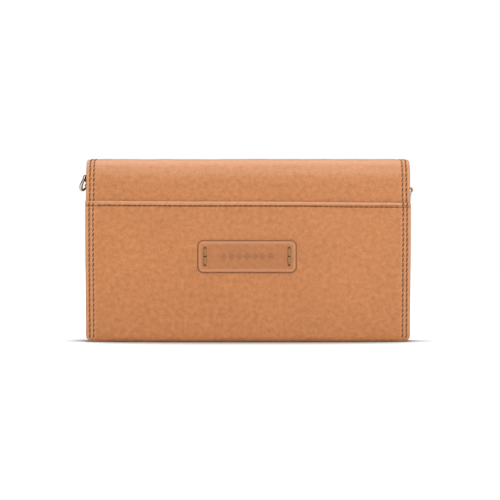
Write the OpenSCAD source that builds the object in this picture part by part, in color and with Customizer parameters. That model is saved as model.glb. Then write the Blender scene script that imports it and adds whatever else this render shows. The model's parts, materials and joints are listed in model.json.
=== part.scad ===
// Long wallet: a folded hide cover with a wrap-over flap, a back slip pocket, gusseted note
// compartments, a zipped coin pocket and a D ring at each end for a shoulder strap.
// +Z up, -Y the plain back with the slip pocket, +Y the flap side, origin under the base.

/* [Overall] */
// Width across the back pocket
wallet_w = 200; // [170:1:240]
// Height from the base to the top of the arch
wallet_h = 112.5; // [100:0.5:140]

/* [Hide and lining] */
// Thickness of the outer hide
leather = 1.2; // [0.9:0.1:1.6]
// Thickness of the bonded reinforcement
board = 0.5; // [0.3:0.1:0.9]
// Thickness of the lining
lining = 0.5; // [0.3:0.1:0.9]
// How far the back pocket stands past the cover at each side
pocket_proud = 0.6; // [0.3:0.1:1.5]
// How far the board and lining stop short of the cover's edge
lining_inset = 1; // [0.5:0.1:3]
// Gap left for a fold between two rigid sections of one hide
fold_gap = 0.3; // [0.2:0.05:0.6]

/* [Corners and folds] */
// Outer radius of the arch over the top
arch_r = 12.4; // [9:0.1:13]
// Outer radius of the folds at the base
base_r = 3.4; // [2.6:0.1:5]
// Corner radius of the panels at the base
corner_low_r = 3.7; // [2:0.1:8]
// Corner radius of the cover at the top
corner_top_r = 2.6; // [1:0.1:6]

/* [Back slip pocket] */
// Height of the pocket's mouth above the base
pocket_top = 86.8; // [60:0.1:92]
// Free gap inside the slip pocket
slip_gap = 0.3; // [0.2:0.05:1]
// Distance from the mouth to the hem's stitch line
hem_depth = 3.1; // [2:0.1:6]
// How far the turned hem stands proud
hem_proud = 0.3; // [0.1:0.05:0.8]

/* [Patch] */
// Width of the patch
patch_w = 61; // [40:1:90]
// Height of the patch
patch_h = 20; // [14:0.5:30]
// Corner radius of the patch
patch_r = 3.6; // [1:0.1:7]
// Thickness of the patch
patch_t = 1.2; // [0.8:0.1:2]
// Height of the patch's centre above the base
patch_z = 52.4; // [35:0.1:60]
// Distance of the patch's stitches from its ends
patch_stitch_in = 4.6; // [3:0.1:9]
// Length of one patch stitch
patch_stitch_l = 4.6; // [3:0.1:6]

/* [Seams] */
// Distance of the outer seam row from the pocket's edge
seam_out = 2.3; // [1.5:0.1:4]
// Distance between the two seam rows
seam_pitch = 2.4; // [1.5:0.1:4]
// Width of a seam thread
thread_w = 0.6; // [0.4:0.05:0.9]
// How far a seam thread stands off the hide
thread_t = 0.2; // [0.1:0.05:0.4]

/* [Compartments] */
// Free depth of each banknote compartment
note_gap = 4.5; // [4.3:0.1:9]
// Height of the front panel's top edge
front_top = 94; // [85:0.5:96]
// Height of the gussets and of the coin pocket
inner_top = 84; // [70:0.5:88]
// Number of stepped card rows
card_rows = 4; // [2:1:5]
// Thickness of one card row
card_layer = 0.6; // [0.4:0.1:0.9]
// Top edge of the highest card row
card_top = 88; // [70:1:90]
// Step between two card rows
card_step = 12; // [8:1:14]
// Thickness of the receipt pocket's wall
receipt_t = 0.6; // [0.4:0.1:1]
// Top edge of the receipt pocket
receipt_top = 74; // [50:1:80]

/* [Coin pocket] */
// Free depth inside the coin pocket
coin_gap = 4.8; // [4.6:0.1:8]
// Wall of the coin pocket
coin_wall = 0.9; // [0.6:0.1:1.4]
// How far the gussets' and coin pocket's sides lie inside the cover's edge
side_inset = 3.4; // [2.6:0.1:8]
// Depth of the gussets' inward folds
gusset_depth = 8.5; // [6:0.1:10]
// Thickness of the gusset hide
gusset_t = 0.8; // [0.5:0.1:1]

/* [Zip] */
// Gap between the two rows of teeth
teeth_gap = 0.5; // [0.4:0.05:0.8]
// Width of one row of teeth
tooth_w = 1.45; // [1:0.05:1.6]
// Height of the teeth
tooth_h = 1.6; // [1:0.1:2]
// Distance between teeth
tooth_pitch = 2; // [1.5:0.1:3]
// Thickness of the zip tape
tape_t = 0.4; // [0.3:0.05:0.6]
// Length of the slider
slider_l = 9; // [7:0.1:12]
// Thickness of the slider's plates
slider_plate = 0.8; // [0.6:0.1:1.2]
// Running clearance round the slider
slider_clear = 0.2; // [0.15:0.05:0.3]
// Length of the pull
pull_l = 15; // [10:0.5:18]
// Width of the pull
pull_w = 3.6; // [3:0.1:4.4]
// Radius of the pull's pin
pull_pin_r = 0.5; // [0.4:0.05:0.6]

/* [D rings] */
// Radius of the ring's wire
ring_wire_r = 0.75; // [0.6:0.05:1]
// Free length of the ring's bar
ring_inner_w = 8.6; // [7:0.1:12]
// Distance from the bar's centre to the far end's centre
ring_reach = 8.4; // [8:0.1:12]
// Width of the ring's leather tab
tab_w = 7.6; // [5:0.1:8]
// Thickness of one layer of the tab
tab_t = 0.9; // [0.7:0.1:1.2]
// Radial clearance between the ring's bar and the tab
ring_clear = 0.1; // [0.05:0.01:0.1]
// Length of the tab sewn to the coin pocket's side
tab_sewn_l = 16; // [10:0.5:25]
// Height over which the tab leans out to its ring
tab_lean_l = 6.5; // [5:0.5:8]
// Height of the left ring's bar below the top
left_ring_drop = 11.2; // [9:0.1:16]
// How far the left ring's bar lies past the cover's edge
left_ring_out = 0.5; // [0.2:0.1:3]
// Turn of the left tab about the vertical
left_ring_yaw = 15; // [0:1:20]
// Lean of the left ring from hanging straight
left_ring_lean = 25; // [15:1:40]
// Height of the right ring's bar below the top
right_ring_drop = 18.9; // [12:0.1:22]
// How far the right ring's bar lies past the cover's edge
right_ring_out = 1.1; // [0.2:0.1:3]
// Lean of the right ring from hanging straight, inward
right_ring_lean = 8; // [0:1:10]

/* [Flap and snap] */
// Height of the flap's lower edge above the base
flap_low = 28; // [15:0.5:50]
// Corner radius of the flap
flap_corner_r = 12; // [4:0.5:20]
// Gap between the front panel and the flap, filled by the snap
flap_gap = 2; // [1.8:0.1:3]
// Height of the snap above the flap's lower edge
snap_up = 13; // [10:0.5:20]
// Radius of the snap's discs
snap_r = 7; // [5:0.1:9]
// Thickness of the socket's disc
socket_t = 1.3; // [1.1:0.1:1.5]
// Radius of the socket's recess
recess_r = 2.8; // [2.4:0.1:3.5]
// Depth of the socket's recess
recess_d = 1; // [0.8:0.05:1.1]
// Clearance inside the closed snap
snap_clear = 0.2; // [0.15:0.05:0.3]
// Side clearance between the stud and the recess
stud_clear = 0.6; // [0.5:0.05:0.9]
// Radius of the snap's shanks
shank_r = 1.5; // [1:0.1:2]
// Radial clearance of a shank and of a washer
shank_clear = 0.1; // [0.05:0.05:0.3]

/* [Hidden] */
$fn = 48;

tan_hide = "#cb8d5f";
tan_lining = "#b98558";
thread_brown = "#7a4f2c";
board_grey = "#9a8c78";
nickel = "#b9b2a4";
tape_tan = "#a9764c";

// Layers from the back to the front, each ending at the named Y.
card_stack = card_rows * card_layer;
shell = leather + board + lining;
depth = leather + slip_gap + shell + card_stack + note_gap + 2 * coin_wall + coin_gap
    + note_gap + receipt_t + shell + flap_gap + shell;
pocket_y = -depth / 2;
cover_y = pocket_y + leather + slip_gap;
back_inner_y = cover_y + shell;
cards_y = back_inner_y + card_stack;
coin_back_y = cards_y + note_gap;
coin_front_y = coin_back_y + 2 * coin_wall + coin_gap;
receipt_y = coin_front_y + note_gap;
front_inner_y = receipt_y + receipt_t;
front_y = front_inner_y + shell;
flap_inner_y = front_y + flap_gap;
flap_y = flap_inner_y + shell;
coin_mid_y = (coin_back_y + coin_front_y) / 2;

// Widths across X.
cover_w = wallet_w - 2 * pocket_proud;
lining_w = cover_w - 2 * lining_inset;
side_x = cover_w / 2 - side_inset;
seam_x = [for (k = [0, 1]) wallet_w / 2 - seam_out - k * seam_pitch];

// Arch over the top: two quarter turns with a flat between them.
arch_z = wallet_h - arch_r;
arch_back_y = cover_y + arch_r;
arch_front_y = flap_y - arch_r;
half_gap_angle = fold_gap / 2 / arch_r * 180 / PI;
base_gap_angle = fold_gap / 2 / base_r * 180 / PI;

// Fold axes of the flap and of the front panel.
fold_share = 0.215;
arch_mid_r = arch_r - shell / 2;
fold_in = shell / 2 + fold_share * arch_mid_r;
fold_z = wallet_h - fold_in;
fold_back_y = cover_y + fold_in;
fold_front_y = flap_y - fold_in;
tilt_in = leather / 2 + fold_share * (base_r - leather / 2);
tilt_y = front_y - tilt_in;
tilt_z = tilt_in;

// Zip, slider and pull.
tape_top_z = inner_top - 1;
teeth_top_z = tape_top_z - tape_t / 2 + tooth_h / 2;
teeth_low_z = teeth_top_z - tooth_h;
teeth_out = teeth_gap / 2 + tooth_w;
stop_l = 1.5;
zip_margin = 15;
zip_half = side_x - zip_margin;
tooth_count = floor(2 * zip_half / tooth_pitch);
slider_x = zip_half - slider_l / 2 - stop_l;
slider_travel = 2 * slider_x;
slider_top_z = teeth_top_z + slider_clear + slider_plate;
slider_half_w = coin_gap / 2 - slider_clear;
pull_z = slider_top_z + 1.6;
pull_x = slider_x;
pull_neck_w = 2;
pull_t = 1;

// D rings.
bar_hole_r = ring_wire_r + ring_clear;
loop_r = bar_hole_r + tab_t;
left_bar = [-(cover_w / 2 + left_ring_out), coin_mid_y, wallet_h - left_ring_drop];
right_bar = [cover_w / 2 + right_ring_out, coin_mid_y, wallet_h - right_ring_drop];
tab_low_z = inner_top - 2 - tab_sewn_l;

// Snap.
snap_z = flap_low + snap_up;
stud_disc_t = flap_gap - socket_t - snap_clear;
washer_r = snap_r - 0.6;

// ---- shapes ---------------------------------------------------------------------------

// A profile drawn in (Y, Z), extruded along X about x.
module along_x(w, x = 0)
    translate([x, 0, 0])
        rotate([90, 0, 90])
            linear_extrude(w, center = true)
                children();

// An outline drawn in (X, Z), extruded along Y from y0 to y1.
module along_y(y0, y1)
    translate([0, y1, 0])
        rotate([90, 0, 0])
            linear_extrude(y1 - y0)
                children();

// A rectangle with its own radius at the low and the high corners.
module panel_outline(w, low, high, r_low, r_high) {
    translate([-w / 2, low + r_low])
        square([w, high - low - r_low - r_high]);
    translate([-w / 2 + r_low, low])
        square([w - 2 * r_low, r_low + 1]);
    translate([-w / 2 + r_high, high - r_high - 1])
        square([w - 2 * r_high, r_high + 1]);
    for (s = [-1, 1]) {
        translate([s * (w / 2 - r_low), low + r_low])
            circle(r_low);
        translate([s * (w / 2 - r_high), high - r_high])
            circle(r_high);
    }
}

// A slab between two Y planes with that outline.
module panel(w, low, high, y0, y1, r_low, r_high)
    along_y(y0, y1)
        panel_outline(w, low, high, r_low, r_high);

// A ring sector in (Y, Z) about c, from angle a0 to a1 (under 90 degrees apart).
module sector(c, r_out, r_in, a0, a1)
    translate(c)
        intersection() {
            difference() {
                circle(r_out);
                circle(r_in);
            }
            polygon([
                [0, 0],
                2 * r_out * [cos(a0), sin(a0)],
                2 * r_out * [cos((a0 + a1) / 2), sin((a0 + a1) / 2)],
                2 * r_out * [cos(a1), sin(a1)]
            ]);
        }

// One layer of the cover at depth o under its outer face: the back up to the first fold.
module back_layer(o, t, low) {
    translate([cover_y + o, low])
        square([t, arch_z - low]);
    sector([arch_back_y, arch_z], arch_r - o, arch_r - o - t, 135 + half_gap_angle, 180);
}

// The same layer over the top, between the two folds.
module top_layer(o, t) {
    sector([arch_back_y, arch_z], arch_r - o, arch_r - o - t, 90, 135 - half_gap_angle);
    translate([arch_back_y, wallet_h - o - t])
        square([arch_front_y - arch_back_y, t]);
    sector([arch_front_y, arch_z], arch_r - o, arch_r - o - t, 45 + half_gap_angle, 90);
}

// The same layer down the flap's front.
module front_layer(o, t, low) {
    sector([arch_front_y, arch_z], arch_r - o, arch_r - o - t, 0, 45 - half_gap_angle);
    translate([flap_y - o - t, low])
        square([t, arch_z - low]);
}

// Keeps what lies inside the cover's outline.
module in_cover(w)
    intersection() {
        children();
        panel(w, -1, wallet_h, pocket_y - 5, flap_y + 5, 1, corner_top_r);
    }

// Keeps what lies inside the outline of the lower hide.
module in_base()
    intersection() {
        children();
        panel(wallet_w, 0, wallet_h, pocket_y - 5, flap_y + 5, corner_low_r, 1);
    }

// ---- back ------------------------------------------------------------------------------

module back_panel()
    color(tan_hide)
        in_cover(cover_w)
            along_x(cover_w)
                back_layer(0, leather, base_r);

module back_stiffener()
    color(board_grey)
        in_cover(lining_w)
            along_x(lining_w)
                back_layer(leather, board, base_r);

module back_lining()
    color(tan_lining)
        in_cover(lining_w)
            along_x(lining_w)
                back_layer(leather + board, lining, base_r);

module back_pocket_panel()
    color(tan_hide) {
        in_base()
            along_x(wallet_w) {
                translate([pocket_y, base_r])
                    square([leather, pocket_top - base_r]);
                translate([pocket_y - hem_proud, pocket_top - hem_depth + thread_w])
                    square([hem_proud, hem_depth - thread_w]);
                sector([pocket_y + base_r, base_r], base_r, base_r - leather, 180, 270);
            }
    }

module name_patch()
    color(tan_hide)
        panel(patch_w, patch_z - patch_h / 2, patch_z + patch_h / 2,
              pocket_y - patch_t, pocket_y, patch_r, patch_r);

module patch_stitches()
    color(thread_brown)
        for (s = [-1, 1], k = [-1, 1])
            translate([s * (patch_w / 2 - patch_stitch_in), pocket_y - patch_t - thread_t,
                       patch_z + k * (patch_stitch_l + thread_w) / 2])
                cube([2.5 * thread_w, 2 * thread_t, patch_stitch_l], center = true);

module back_seam_threads()
    color(thread_brown)
        for (s = [-1, 1], x = seam_x) {
            along_x(thread_w, s * x)
                translate([pocket_y - thread_t, corner_low_r + 1])
                    square([thread_t, pocket_top - hem_depth - corner_low_r - 1]);
            along_x(thread_w, s * x)
                difference() {
                    back_layer(-thread_t, thread_t, pocket_top + fold_gap);
                    translate([pocket_y - arch_r, 0])
                        square([arch_r, pocket_top + fold_gap]);
                }
        }

module hem_thread()
    color(thread_brown)
        along_x(2 * (seam_x[1] - thread_w))
            translate([pocket_y - thread_t, pocket_top - hem_depth])
                square([thread_t, thread_w / 2]);

module base_panel()
    color(tan_hide)
        in_base()
            along_x(wallet_w) {
                translate([pocket_y + base_r, 0])
                    square([front_y - pocket_y - 2 * base_r, leather]);
                sector([front_y - base_r, base_r], base_r, base_r - leather,
                       270, 315 - base_gap_angle);
            }

module base_stiffener()
    color(board_grey)
        translate([-wallet_w / 2 + corner_low_r, pocket_y + base_r, leather])
            cube([wallet_w - 2 * corner_low_r, front_y - pocket_y - 2 * base_r, board]);

// Card row k, counted from the lining: each one in front stands a step lower.
module card_row(k)
    color(tan_lining)
        if (k <= card_rows)
            panel(2 * side_x, base_r, card_top - (k - 1) * card_step,
                  back_inner_y + (k - 1) * card_layer, back_inner_y + k * card_layer, 1, 2);

module card_seam_thread()
    color(thread_brown)
        along_x(thread_w)
            translate([cards_y, base_r + 4])
                square([thread_t, card_top - (card_rows - 1) * card_step - base_r - 8]);

// One inward fold of a gusset, between two Y planes, on side s.
module gusset(s, y0, y1) {
    mid = (y0 + y1) / 2;
    slope = gusset_depth / (mid - y0);
    step = gusset_t * sqrt(1 + slope * slope);
    color(tan_lining)
        translate([0, 0, base_r])
            linear_extrude(inner_top - base_r)
                polygon([
                    [s * side_x, y0], [s * (side_x - gusset_depth), mid], [s * side_x, y1],
                    [s * (side_x - step), y1], [s * (side_x - gusset_depth - step), mid],
                    [s * (side_x - step), y0]
                ]);
}

// ---- coin pocket, zip and ring tabs ------------------------------------------------------

module coin_pocket()
    color(tan_lining)
        difference() {
            translate([-side_x, coin_back_y, base_r])
                cube([2 * side_x, coin_front_y - coin_back_y, inner_top - base_r]);
            translate([-side_x + coin_wall, coin_back_y + coin_wall, base_r + coin_wall])
                cube([2 * (side_x - coin_wall), coin_gap, inner_top]);
        }

// One side's zip tape, s = -1 at the back and 1 at the front.
module zip_tape(s)
    color(tape_tan)
        translate([0, coin_mid_y + s * (teeth_out + coin_gap / 2) / 2, tape_top_z - tape_t / 2])
            cube([2 * (side_x - coin_wall), coin_gap / 2 - teeth_out, tape_t], center = true);

module zip_teeth(s)
    color(nickel)
        for (k = [0 : tooth_count - 1])
            translate([(k - (tooth_count - 1) / 2) * tooth_pitch,
                       coin_mid_y + s * (teeth_gap + tooth_w) / 2, (teeth_top_z + teeth_low_z) / 2])
                cube([tooth_pitch / 2, tooth_w, tooth_h], center = true);

module zip_end_stops()
    color(nickel)
        for (s = [-1, 1])
            translate([s * (zip_half + stop_l / 2 + tooth_pitch / 2), coin_mid_y,
                       (teeth_top_z + teeth_low_z) / 2])
                cube([stop_l, 2 * teeth_out, tooth_h], center = true);

// Section of a ring tab in (X, Z), on the right-hand side: a sewn leg and a leaning loop.
module tab_section(bar_x, bar_z) {
    foot = [side_x + tab_t, bar_z - tab_lean_l];
    run = [bar_x, bar_z] - foot;
    side = tab_t * [run[1], -run[0]] / norm(run);
    mitre = [tab_t, -tab_t * (norm(run) - run[1]) / run[0]];
    difference() {
        union() {
            polygon([
                [foot[0] - tab_t, tab_low_z], [foot[0] + tab_t, tab_low_z], foot + mitre,
                foot + run + side, foot + run - side, foot - mitre
            ]);
            translate([bar_x, bar_z])
                circle(loop_r);
        }
        translate([bar_x, bar_z])
            circle(bar_hole_r);
    }
}

module ring_tab_right()
    color(tan_hide)
        along_y(coin_mid_y - tab_w / 2, coin_mid_y + tab_w / 2)
            tab_section(right_bar[0], right_bar[2]);

module ring_tab_left()
    color(tan_hide)
        union() {
            translate([left_bar[0], coin_mid_y, 0])
                rotate([0, 0, -left_ring_yaw])
                    translate([-left_bar[0], -coin_mid_y, 0])
                        intersection() {
                            mirror([1, 0, 0])
                                along_y(coin_mid_y - tab_w / 2, coin_mid_y + tab_w / 2)
                                    tab_section(-left_bar[0], left_bar[2]);
                            translate([-wallet_w, -depth, inner_top + 3])
                                cube([wallet_w, 2 * depth, wallet_h]);
                        }
            intersection() {
                mirror([1, 0, 0])
                    along_y(coin_mid_y - tab_w / 2, coin_mid_y + tab_w / 2)
                        tab_section(-left_bar[0], left_bar[2]);
                translate([-wallet_w, -depth, 0])
                    cube([wallet_w, 2 * depth, inner_top + 5]);
            }
        }

module ring_tab_stitches()
    color(thread_brown)
        for (s = [-1, 1], z = [tab_low_z + 2, inner_top - 4])
            translate([s * (side_x + 2 * tab_t + thread_t / 2), coin_mid_y, z])
                cube([thread_t, tab_w - 2, thread_w], center = true);

// The slider: two plates joined by a thin web that runs between the teeth, with side
// flanges outside them and two ears that carry the pull's pin.
module zip_slider() {
    flange_low_z = tape_top_z + slider_clear;
    ear_r = 1.1;
    ear_t = 0.6;
    color(nickel)
        difference() {
            union() {
                for (z = [slider_top_z - slider_plate, teeth_low_z - slider_clear - slider_plate])
                    translate([slider_x - slider_l / 2, coin_mid_y - slider_half_w, z])
                        cube([slider_l, 2 * slider_half_w, slider_plate]);
                translate([slider_x - slider_l / 4, coin_mid_y - 0.15,
                           teeth_low_z - slider_clear - slider_plate / 2])
                    cube([slider_l / 2, 0.3, tooth_h + 2 * slider_clear + slider_plate]);
                for (s = [-1, 1])
                    translate([slider_x, coin_mid_y + s * (slider_half_w - 0.15),
                               (flange_low_z + slider_top_z) / 2])
                        cube([slider_l, 0.3, slider_top_z - flange_low_z], center = true);
                for (s = [-1, 1])
                    translate([pull_x, coin_mid_y + s * (pull_neck_w / 2 + 0.1 + ear_t / 2), 0]) {
                        translate([-ear_r, -ear_t / 2, slider_top_z - 0.1])
                            cube([2 * ear_r, ear_t, pull_z - slider_top_z + 0.1]);
                        translate([0, ear_t / 2, pull_z])
                            rotate([90, 0, 0])
                                cylinder(r = ear_r, h = ear_t);
                    }
            }
            translate([pull_x, coin_mid_y + slider_half_w + 1, pull_z])
                rotate([90, 0, 0])
                    cylinder(r = pull_pin_r, h = 2 * slider_half_w + 2);
        }
}

module zip_pull_pin()
    color(nickel)
        translate([pull_x, coin_mid_y + pull_neck_w / 2 + 0.7, pull_z])
            rotate([90, 0, 0])
                cylinder(r = pull_pin_r, h = pull_neck_w + 1.4);

// The pull lies along -X from its eye.
module zip_pull() {
    eye_r = 1.1;
    neck_l = 3;
    color(nickel)
        difference() {
            union() {
                translate([pull_x, coin_mid_y + pull_neck_w / 2, pull_z])
                    rotate([90, 0, 0])
                        cylinder(r = eye_r, h = pull_neck_w);
                translate([pull_x - neck_l, coin_mid_y - pull_neck_w / 2, pull_z - pull_t / 2])
                    cube([neck_l, pull_neck_w, pull_t]);
                translate([pull_x - pull_l + pull_w / 2, coin_mid_y - pull_w / 2,
                           pull_z - pull_t / 2])
                    cube([pull_l - pull_w / 2 - neck_l + 0.5, pull_w, pull_t]);
                translate([pull_x - pull_l + pull_w / 2, coin_mid_y, pull_z - pull_t / 2])
                    cylinder(r = pull_w / 2, h = pull_t);
            }
            translate([pull_x, coin_mid_y + pull_neck_w, pull_z])
                rotate([90, 0, 0])
                    cylinder(r = pull_pin_r + 0.08, h = 2 * pull_neck_w);
            translate([pull_x - pull_l + pull_w / 2, coin_mid_y, pull_z - pull_t])
                cylinder(r = 0.9, h = 2 * pull_t);
        }
}

// A D ring with its bar along Y through the origin, hanging down.
module d_ring() {
    bar_half = ring_inner_w / 2 + ring_wire_r;
    arm = ring_reach - bar_half;
    color(nickel) {
        translate([0, bar_half, 0])
            rotate([90, 0, 0])
                cylinder(r = ring_wire_r, h = 2 * bar_half);
        for (s = [-1, 1])
            translate([0, s * bar_half, 0]) {
                sphere(ring_wire_r);
                translate([0, 0, -arm])
                    cylinder(r = ring_wire_r, h = arm);
            }
        translate([0, 0, -arm])
            rotate([-90, 0, 90])
                rotate_extrude(angle = 180)
                    translate([bar_half, 0])
                        circle(ring_wire_r);
    }
}

module d_ring_left()
    translate(left_bar)
        rotate([0, 0, -left_ring_yaw])
            rotate([0, left_ring_lean, 0])
                d_ring();

module d_ring_right()
    translate(right_bar)
        rotate([0, right_ring_lean, 0])
            d_ring();

// ---- front panel -------------------------------------------------------------------------

// A round hole along Y through the front layers, where the snap is fixed.
module snap_hole(r)
    translate([0, flap_y + 1, snap_z])
        rotate([90, 0, 0])
            cylinder(r = r, h = depth);

module front_panel()
    color(tan_hide)
        difference() {
            intersection() {
                in_base()
                    along_x(cover_w) {
                        translate([front_y - leather, base_r])
                            square([leather, front_top - base_r]);
                        sector([front_y - base_r, base_r], base_r, base_r - leather,
                               315 + base_gap_angle, 360);
                    }
                panel(cover_w, 0, front_top, front_y - base_r, front_y, corner_low_r, corner_top_r);
            }
            snap_hole(shank_r + shank_clear);
        }

module front_stiffener()
    color(board_grey)
        difference() {
            panel(lining_w, base_r, front_top, front_y - leather - board, front_y - leather,
                  1, corner_top_r);
            snap_hole(washer_r + shank_clear);
        }

module front_lining()
    color(tan_lining)
        panel(lining_w, base_r, front_top, front_inner_y, front_inner_y + lining, 1, corner_top_r);

module receipt_pocket()
    color(tan_lining)
        panel(2 * side_x, base_r, receipt_top, receipt_y, front_inner_y, 1, 2);

module front_seam_threads()
    color(thread_brown)
        for (s = [-1, 1], x = seam_x)
            along_x(thread_w, s * x)
                translate([front_y, corner_low_r + 1])
                    square([thread_t, front_top - corner_low_r - 2]);

// The snap's socket disc on the front panel, with its shank through the hide.
module snap_socket()
    color(nickel)
        difference() {
            union() {
                translate([0, front_y + socket_t, snap_z])
                    rotate([90, 0, 0])
                        cylinder(r = snap_r, h = socket_t);
                translate([0, front_y, snap_z])
                    rotate([90, 0, 0])
                        cylinder(r = shank_r, h = leather);
            }
            translate([0, front_y + socket_t + 1, snap_z])
                rotate([90, 0, 0])
                    cylinder(r = recess_r, h = recess_d + 1);
        }

module snap_socket_washer()
    color(nickel)
        translate([0, front_y - leather, snap_z])
            rotate([90, 0, 0])
                cylinder(r = washer_r, h = board);

// ---- flap ----------------------------------------------------------------------------------

module flap_top_part(w, o, t)
    in_cover(w)
        along_x(w)
            top_layer(o, t);

module flap_front_part(w, o, t, low)
    intersection() {
        along_x(w)
            front_layer(o, t, low);
        panel(w, low, wallet_h, front_y, flap_y + 1, flap_corner_r - (low - flap_low), 1);
    }

module flap_top()
    color(tan_hide)
        flap_top_part(cover_w, 0, leather);

module flap_top_stiffener()
    color(board_grey)
        flap_top_part(lining_w, leather, board);

module flap_top_lining()
    color(tan_lining)
        flap_top_part(lining_w, leather + board, lining);

module flap_top_threads()
    color(thread_brown)
        for (s = [-1, 1], x = seam_x)
            along_x(thread_w, s * x)
                top_layer(-thread_t, thread_t);

module flap_front()
    color(tan_hide)
        flap_front_part(cover_w, 0, leather, flap_low);

module flap_front_stiffener()
    color(board_grey)
        difference() {
            flap_front_part(lining_w, leather, board, flap_low + lining_inset);
            snap_hole(washer_r + shank_clear);
        }

module flap_front_lining()
    color(tan_lining)
        difference() {
            flap_front_part(lining_w, leather + board, lining, flap_low + lining_inset);
            snap_hole(shank_r + shank_clear);
        }

module flap_front_threads()
    color(thread_brown)
        for (s = [-1, 1], x = seam_x)
            along_x(thread_w, s * x)
                front_layer(-thread_t, thread_t, flap_low + flap_corner_r);

// The snap's stud disc on the flap's lining, its boss in the socket and its shank behind.
module snap_stud()
    color(nickel)
        union() {
            translate([0, flap_inner_y, snap_z])
                rotate([90, 0, 0])
                    cylinder(r = snap_r, h = stud_disc_t);
            translate([0, flap_inner_y - stud_disc_t, snap_z])
                rotate([90, 0, 0])
                    cylinder(r = recess_r - stud_clear, h = recess_d);
            translate([0, flap_inner_y + lining, snap_z])
                rotate([90, 0, 0])
                    cylinder(r = shank_r, h = lining);
        }

module snap_stud_washer()
    color(nickel)
        translate([0, flap_inner_y + lining + board, snap_z])
            rotate([90, 0, 0])
                cylinder(r = washer_r, h = board);

// ---- nodes ---------------------------------------------------------------------------------

back_panel();
back_stiffener();
back_lining();
back_pocket_panel();
name_patch();
patch_stitches();
back_seam_threads();
hem_thread();
base_panel();
base_stiffener();
card_row(1);  // card_row_1
card_row(2);  // card_row_2
card_row(3);  // card_row_3
card_row(4);  // card_row_4
card_seam_thread();
gusset(-1, cards_y, coin_back_y);  // gusset_left_back
gusset(-1, coin_front_y, receipt_y);  // gusset_left_front
gusset(1, cards_y, coin_back_y);  // gusset_right_back
gusset(1, coin_front_y, receipt_y);  // gusset_right_front
coin_pocket();
zip_tape(-1);  // zip_tape_back
zip_tape(1);  // zip_tape_front
zip_teeth(-1);  // zip_teeth_back
zip_teeth(1);  // zip_teeth_front
zip_end_stops();
ring_tab_left();
ring_tab_right();
ring_tab_stitches();
zip_slider();
zip_pull_pin();
zip_pull();
d_ring_left();
d_ring_right();
front_panel();
front_stiffener();
front_lining();
receipt_pocket();
front_seam_threads();
snap_socket();
snap_socket_washer();
flap_top();
flap_top_stiffener();
flap_top_lining();
flap_top_threads();
flap_front();
flap_front_stiffener();
flap_front_lining();
flap_front_threads();
snap_stud();
snap_stud_washer();
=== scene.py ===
import json
import math

import bmesh
import bpy
import numpy as np
from mathutils import Matrix, Vector


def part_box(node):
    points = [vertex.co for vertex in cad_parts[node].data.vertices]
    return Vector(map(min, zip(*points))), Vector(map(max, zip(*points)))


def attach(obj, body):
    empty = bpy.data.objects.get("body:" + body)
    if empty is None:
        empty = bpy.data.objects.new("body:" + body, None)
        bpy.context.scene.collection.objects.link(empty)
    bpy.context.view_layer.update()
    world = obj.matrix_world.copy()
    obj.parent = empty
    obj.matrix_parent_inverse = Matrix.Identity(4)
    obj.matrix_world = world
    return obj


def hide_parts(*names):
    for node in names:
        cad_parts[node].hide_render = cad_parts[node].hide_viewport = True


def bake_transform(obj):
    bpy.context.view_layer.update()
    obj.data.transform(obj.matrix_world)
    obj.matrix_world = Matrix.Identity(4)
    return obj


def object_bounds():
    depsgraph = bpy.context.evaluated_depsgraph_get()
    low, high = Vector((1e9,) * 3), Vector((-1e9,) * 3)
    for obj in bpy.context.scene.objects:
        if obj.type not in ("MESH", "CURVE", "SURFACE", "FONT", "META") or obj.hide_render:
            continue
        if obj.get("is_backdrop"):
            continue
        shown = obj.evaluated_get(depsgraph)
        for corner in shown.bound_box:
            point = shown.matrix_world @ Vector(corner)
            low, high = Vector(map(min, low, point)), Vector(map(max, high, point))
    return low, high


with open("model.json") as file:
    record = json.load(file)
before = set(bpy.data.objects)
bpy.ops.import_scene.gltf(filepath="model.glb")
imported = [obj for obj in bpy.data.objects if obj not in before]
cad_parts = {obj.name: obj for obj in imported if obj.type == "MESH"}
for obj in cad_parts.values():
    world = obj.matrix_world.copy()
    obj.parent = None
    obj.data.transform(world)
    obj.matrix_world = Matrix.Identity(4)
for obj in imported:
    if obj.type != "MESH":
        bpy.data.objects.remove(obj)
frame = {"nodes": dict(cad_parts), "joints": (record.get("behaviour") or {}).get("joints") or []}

cad_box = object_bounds()
mm = 0.001

# ---- Studio --------------------------------------------------------------------------------------
# The wallet stands on a white sweep in a white room. A very wide light hangs over it, a little
# behind, and two softboxes stand before it, one high and one low, beside a level camera.
slip_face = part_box("name_patch")[1].y
camera_distance = 1.5
camera_aside = 1.2 * mm
camera_height = 56.4 * mm
room_brightness = 0.12
shadow_reach = 0.11
paper_white = 0.94
paper_glow = 0.4
sweep_half = 6


def put_out(name, data):
    """An object at the origin that holds that data, put into the scene."""
    made = bpy.data.objects.new(name, data)
    bpy.context.scene.collection.objects.link(made)
    return made


def node(tree, kind, inputs=None, **settings):
    """Adds a node with those settings, and links or sets its inputs, by name or by place."""
    made = tree.nodes.new(kind)
    for key, value in settings.items():
        setattr(made, key, value)
    for key, value in (inputs or {}).items():
        if isinstance(value, bpy.types.NodeSocket):
            tree.links.new(value, made.inputs[key])
        else:
            made.inputs[key].default_value = value
    return made


def ramp(tree, factor, *stops):
    """A colour ramp through (position, colour) stops."""
    made = node(tree, "ShaderNodeValToRGB", {"Fac": factor})
    elements = made.color_ramp.elements
    while len(elements) < len(stops):
        elements.new(0.5)
    for element, (position, colour) in zip(elements, stops):
        element.position = position
        element.color = (*colour, 1)
    return made.outputs["Color"]


def tint(tree, under, factor, over, how="MIX"):
    """Lays one colour over another, by a factor."""
    made = node(tree, "ShaderNodeMix", {0: factor, 6: under, 7: over}, data_type="RGBA", blend_type=how)
    return made.outputs[2]


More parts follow.
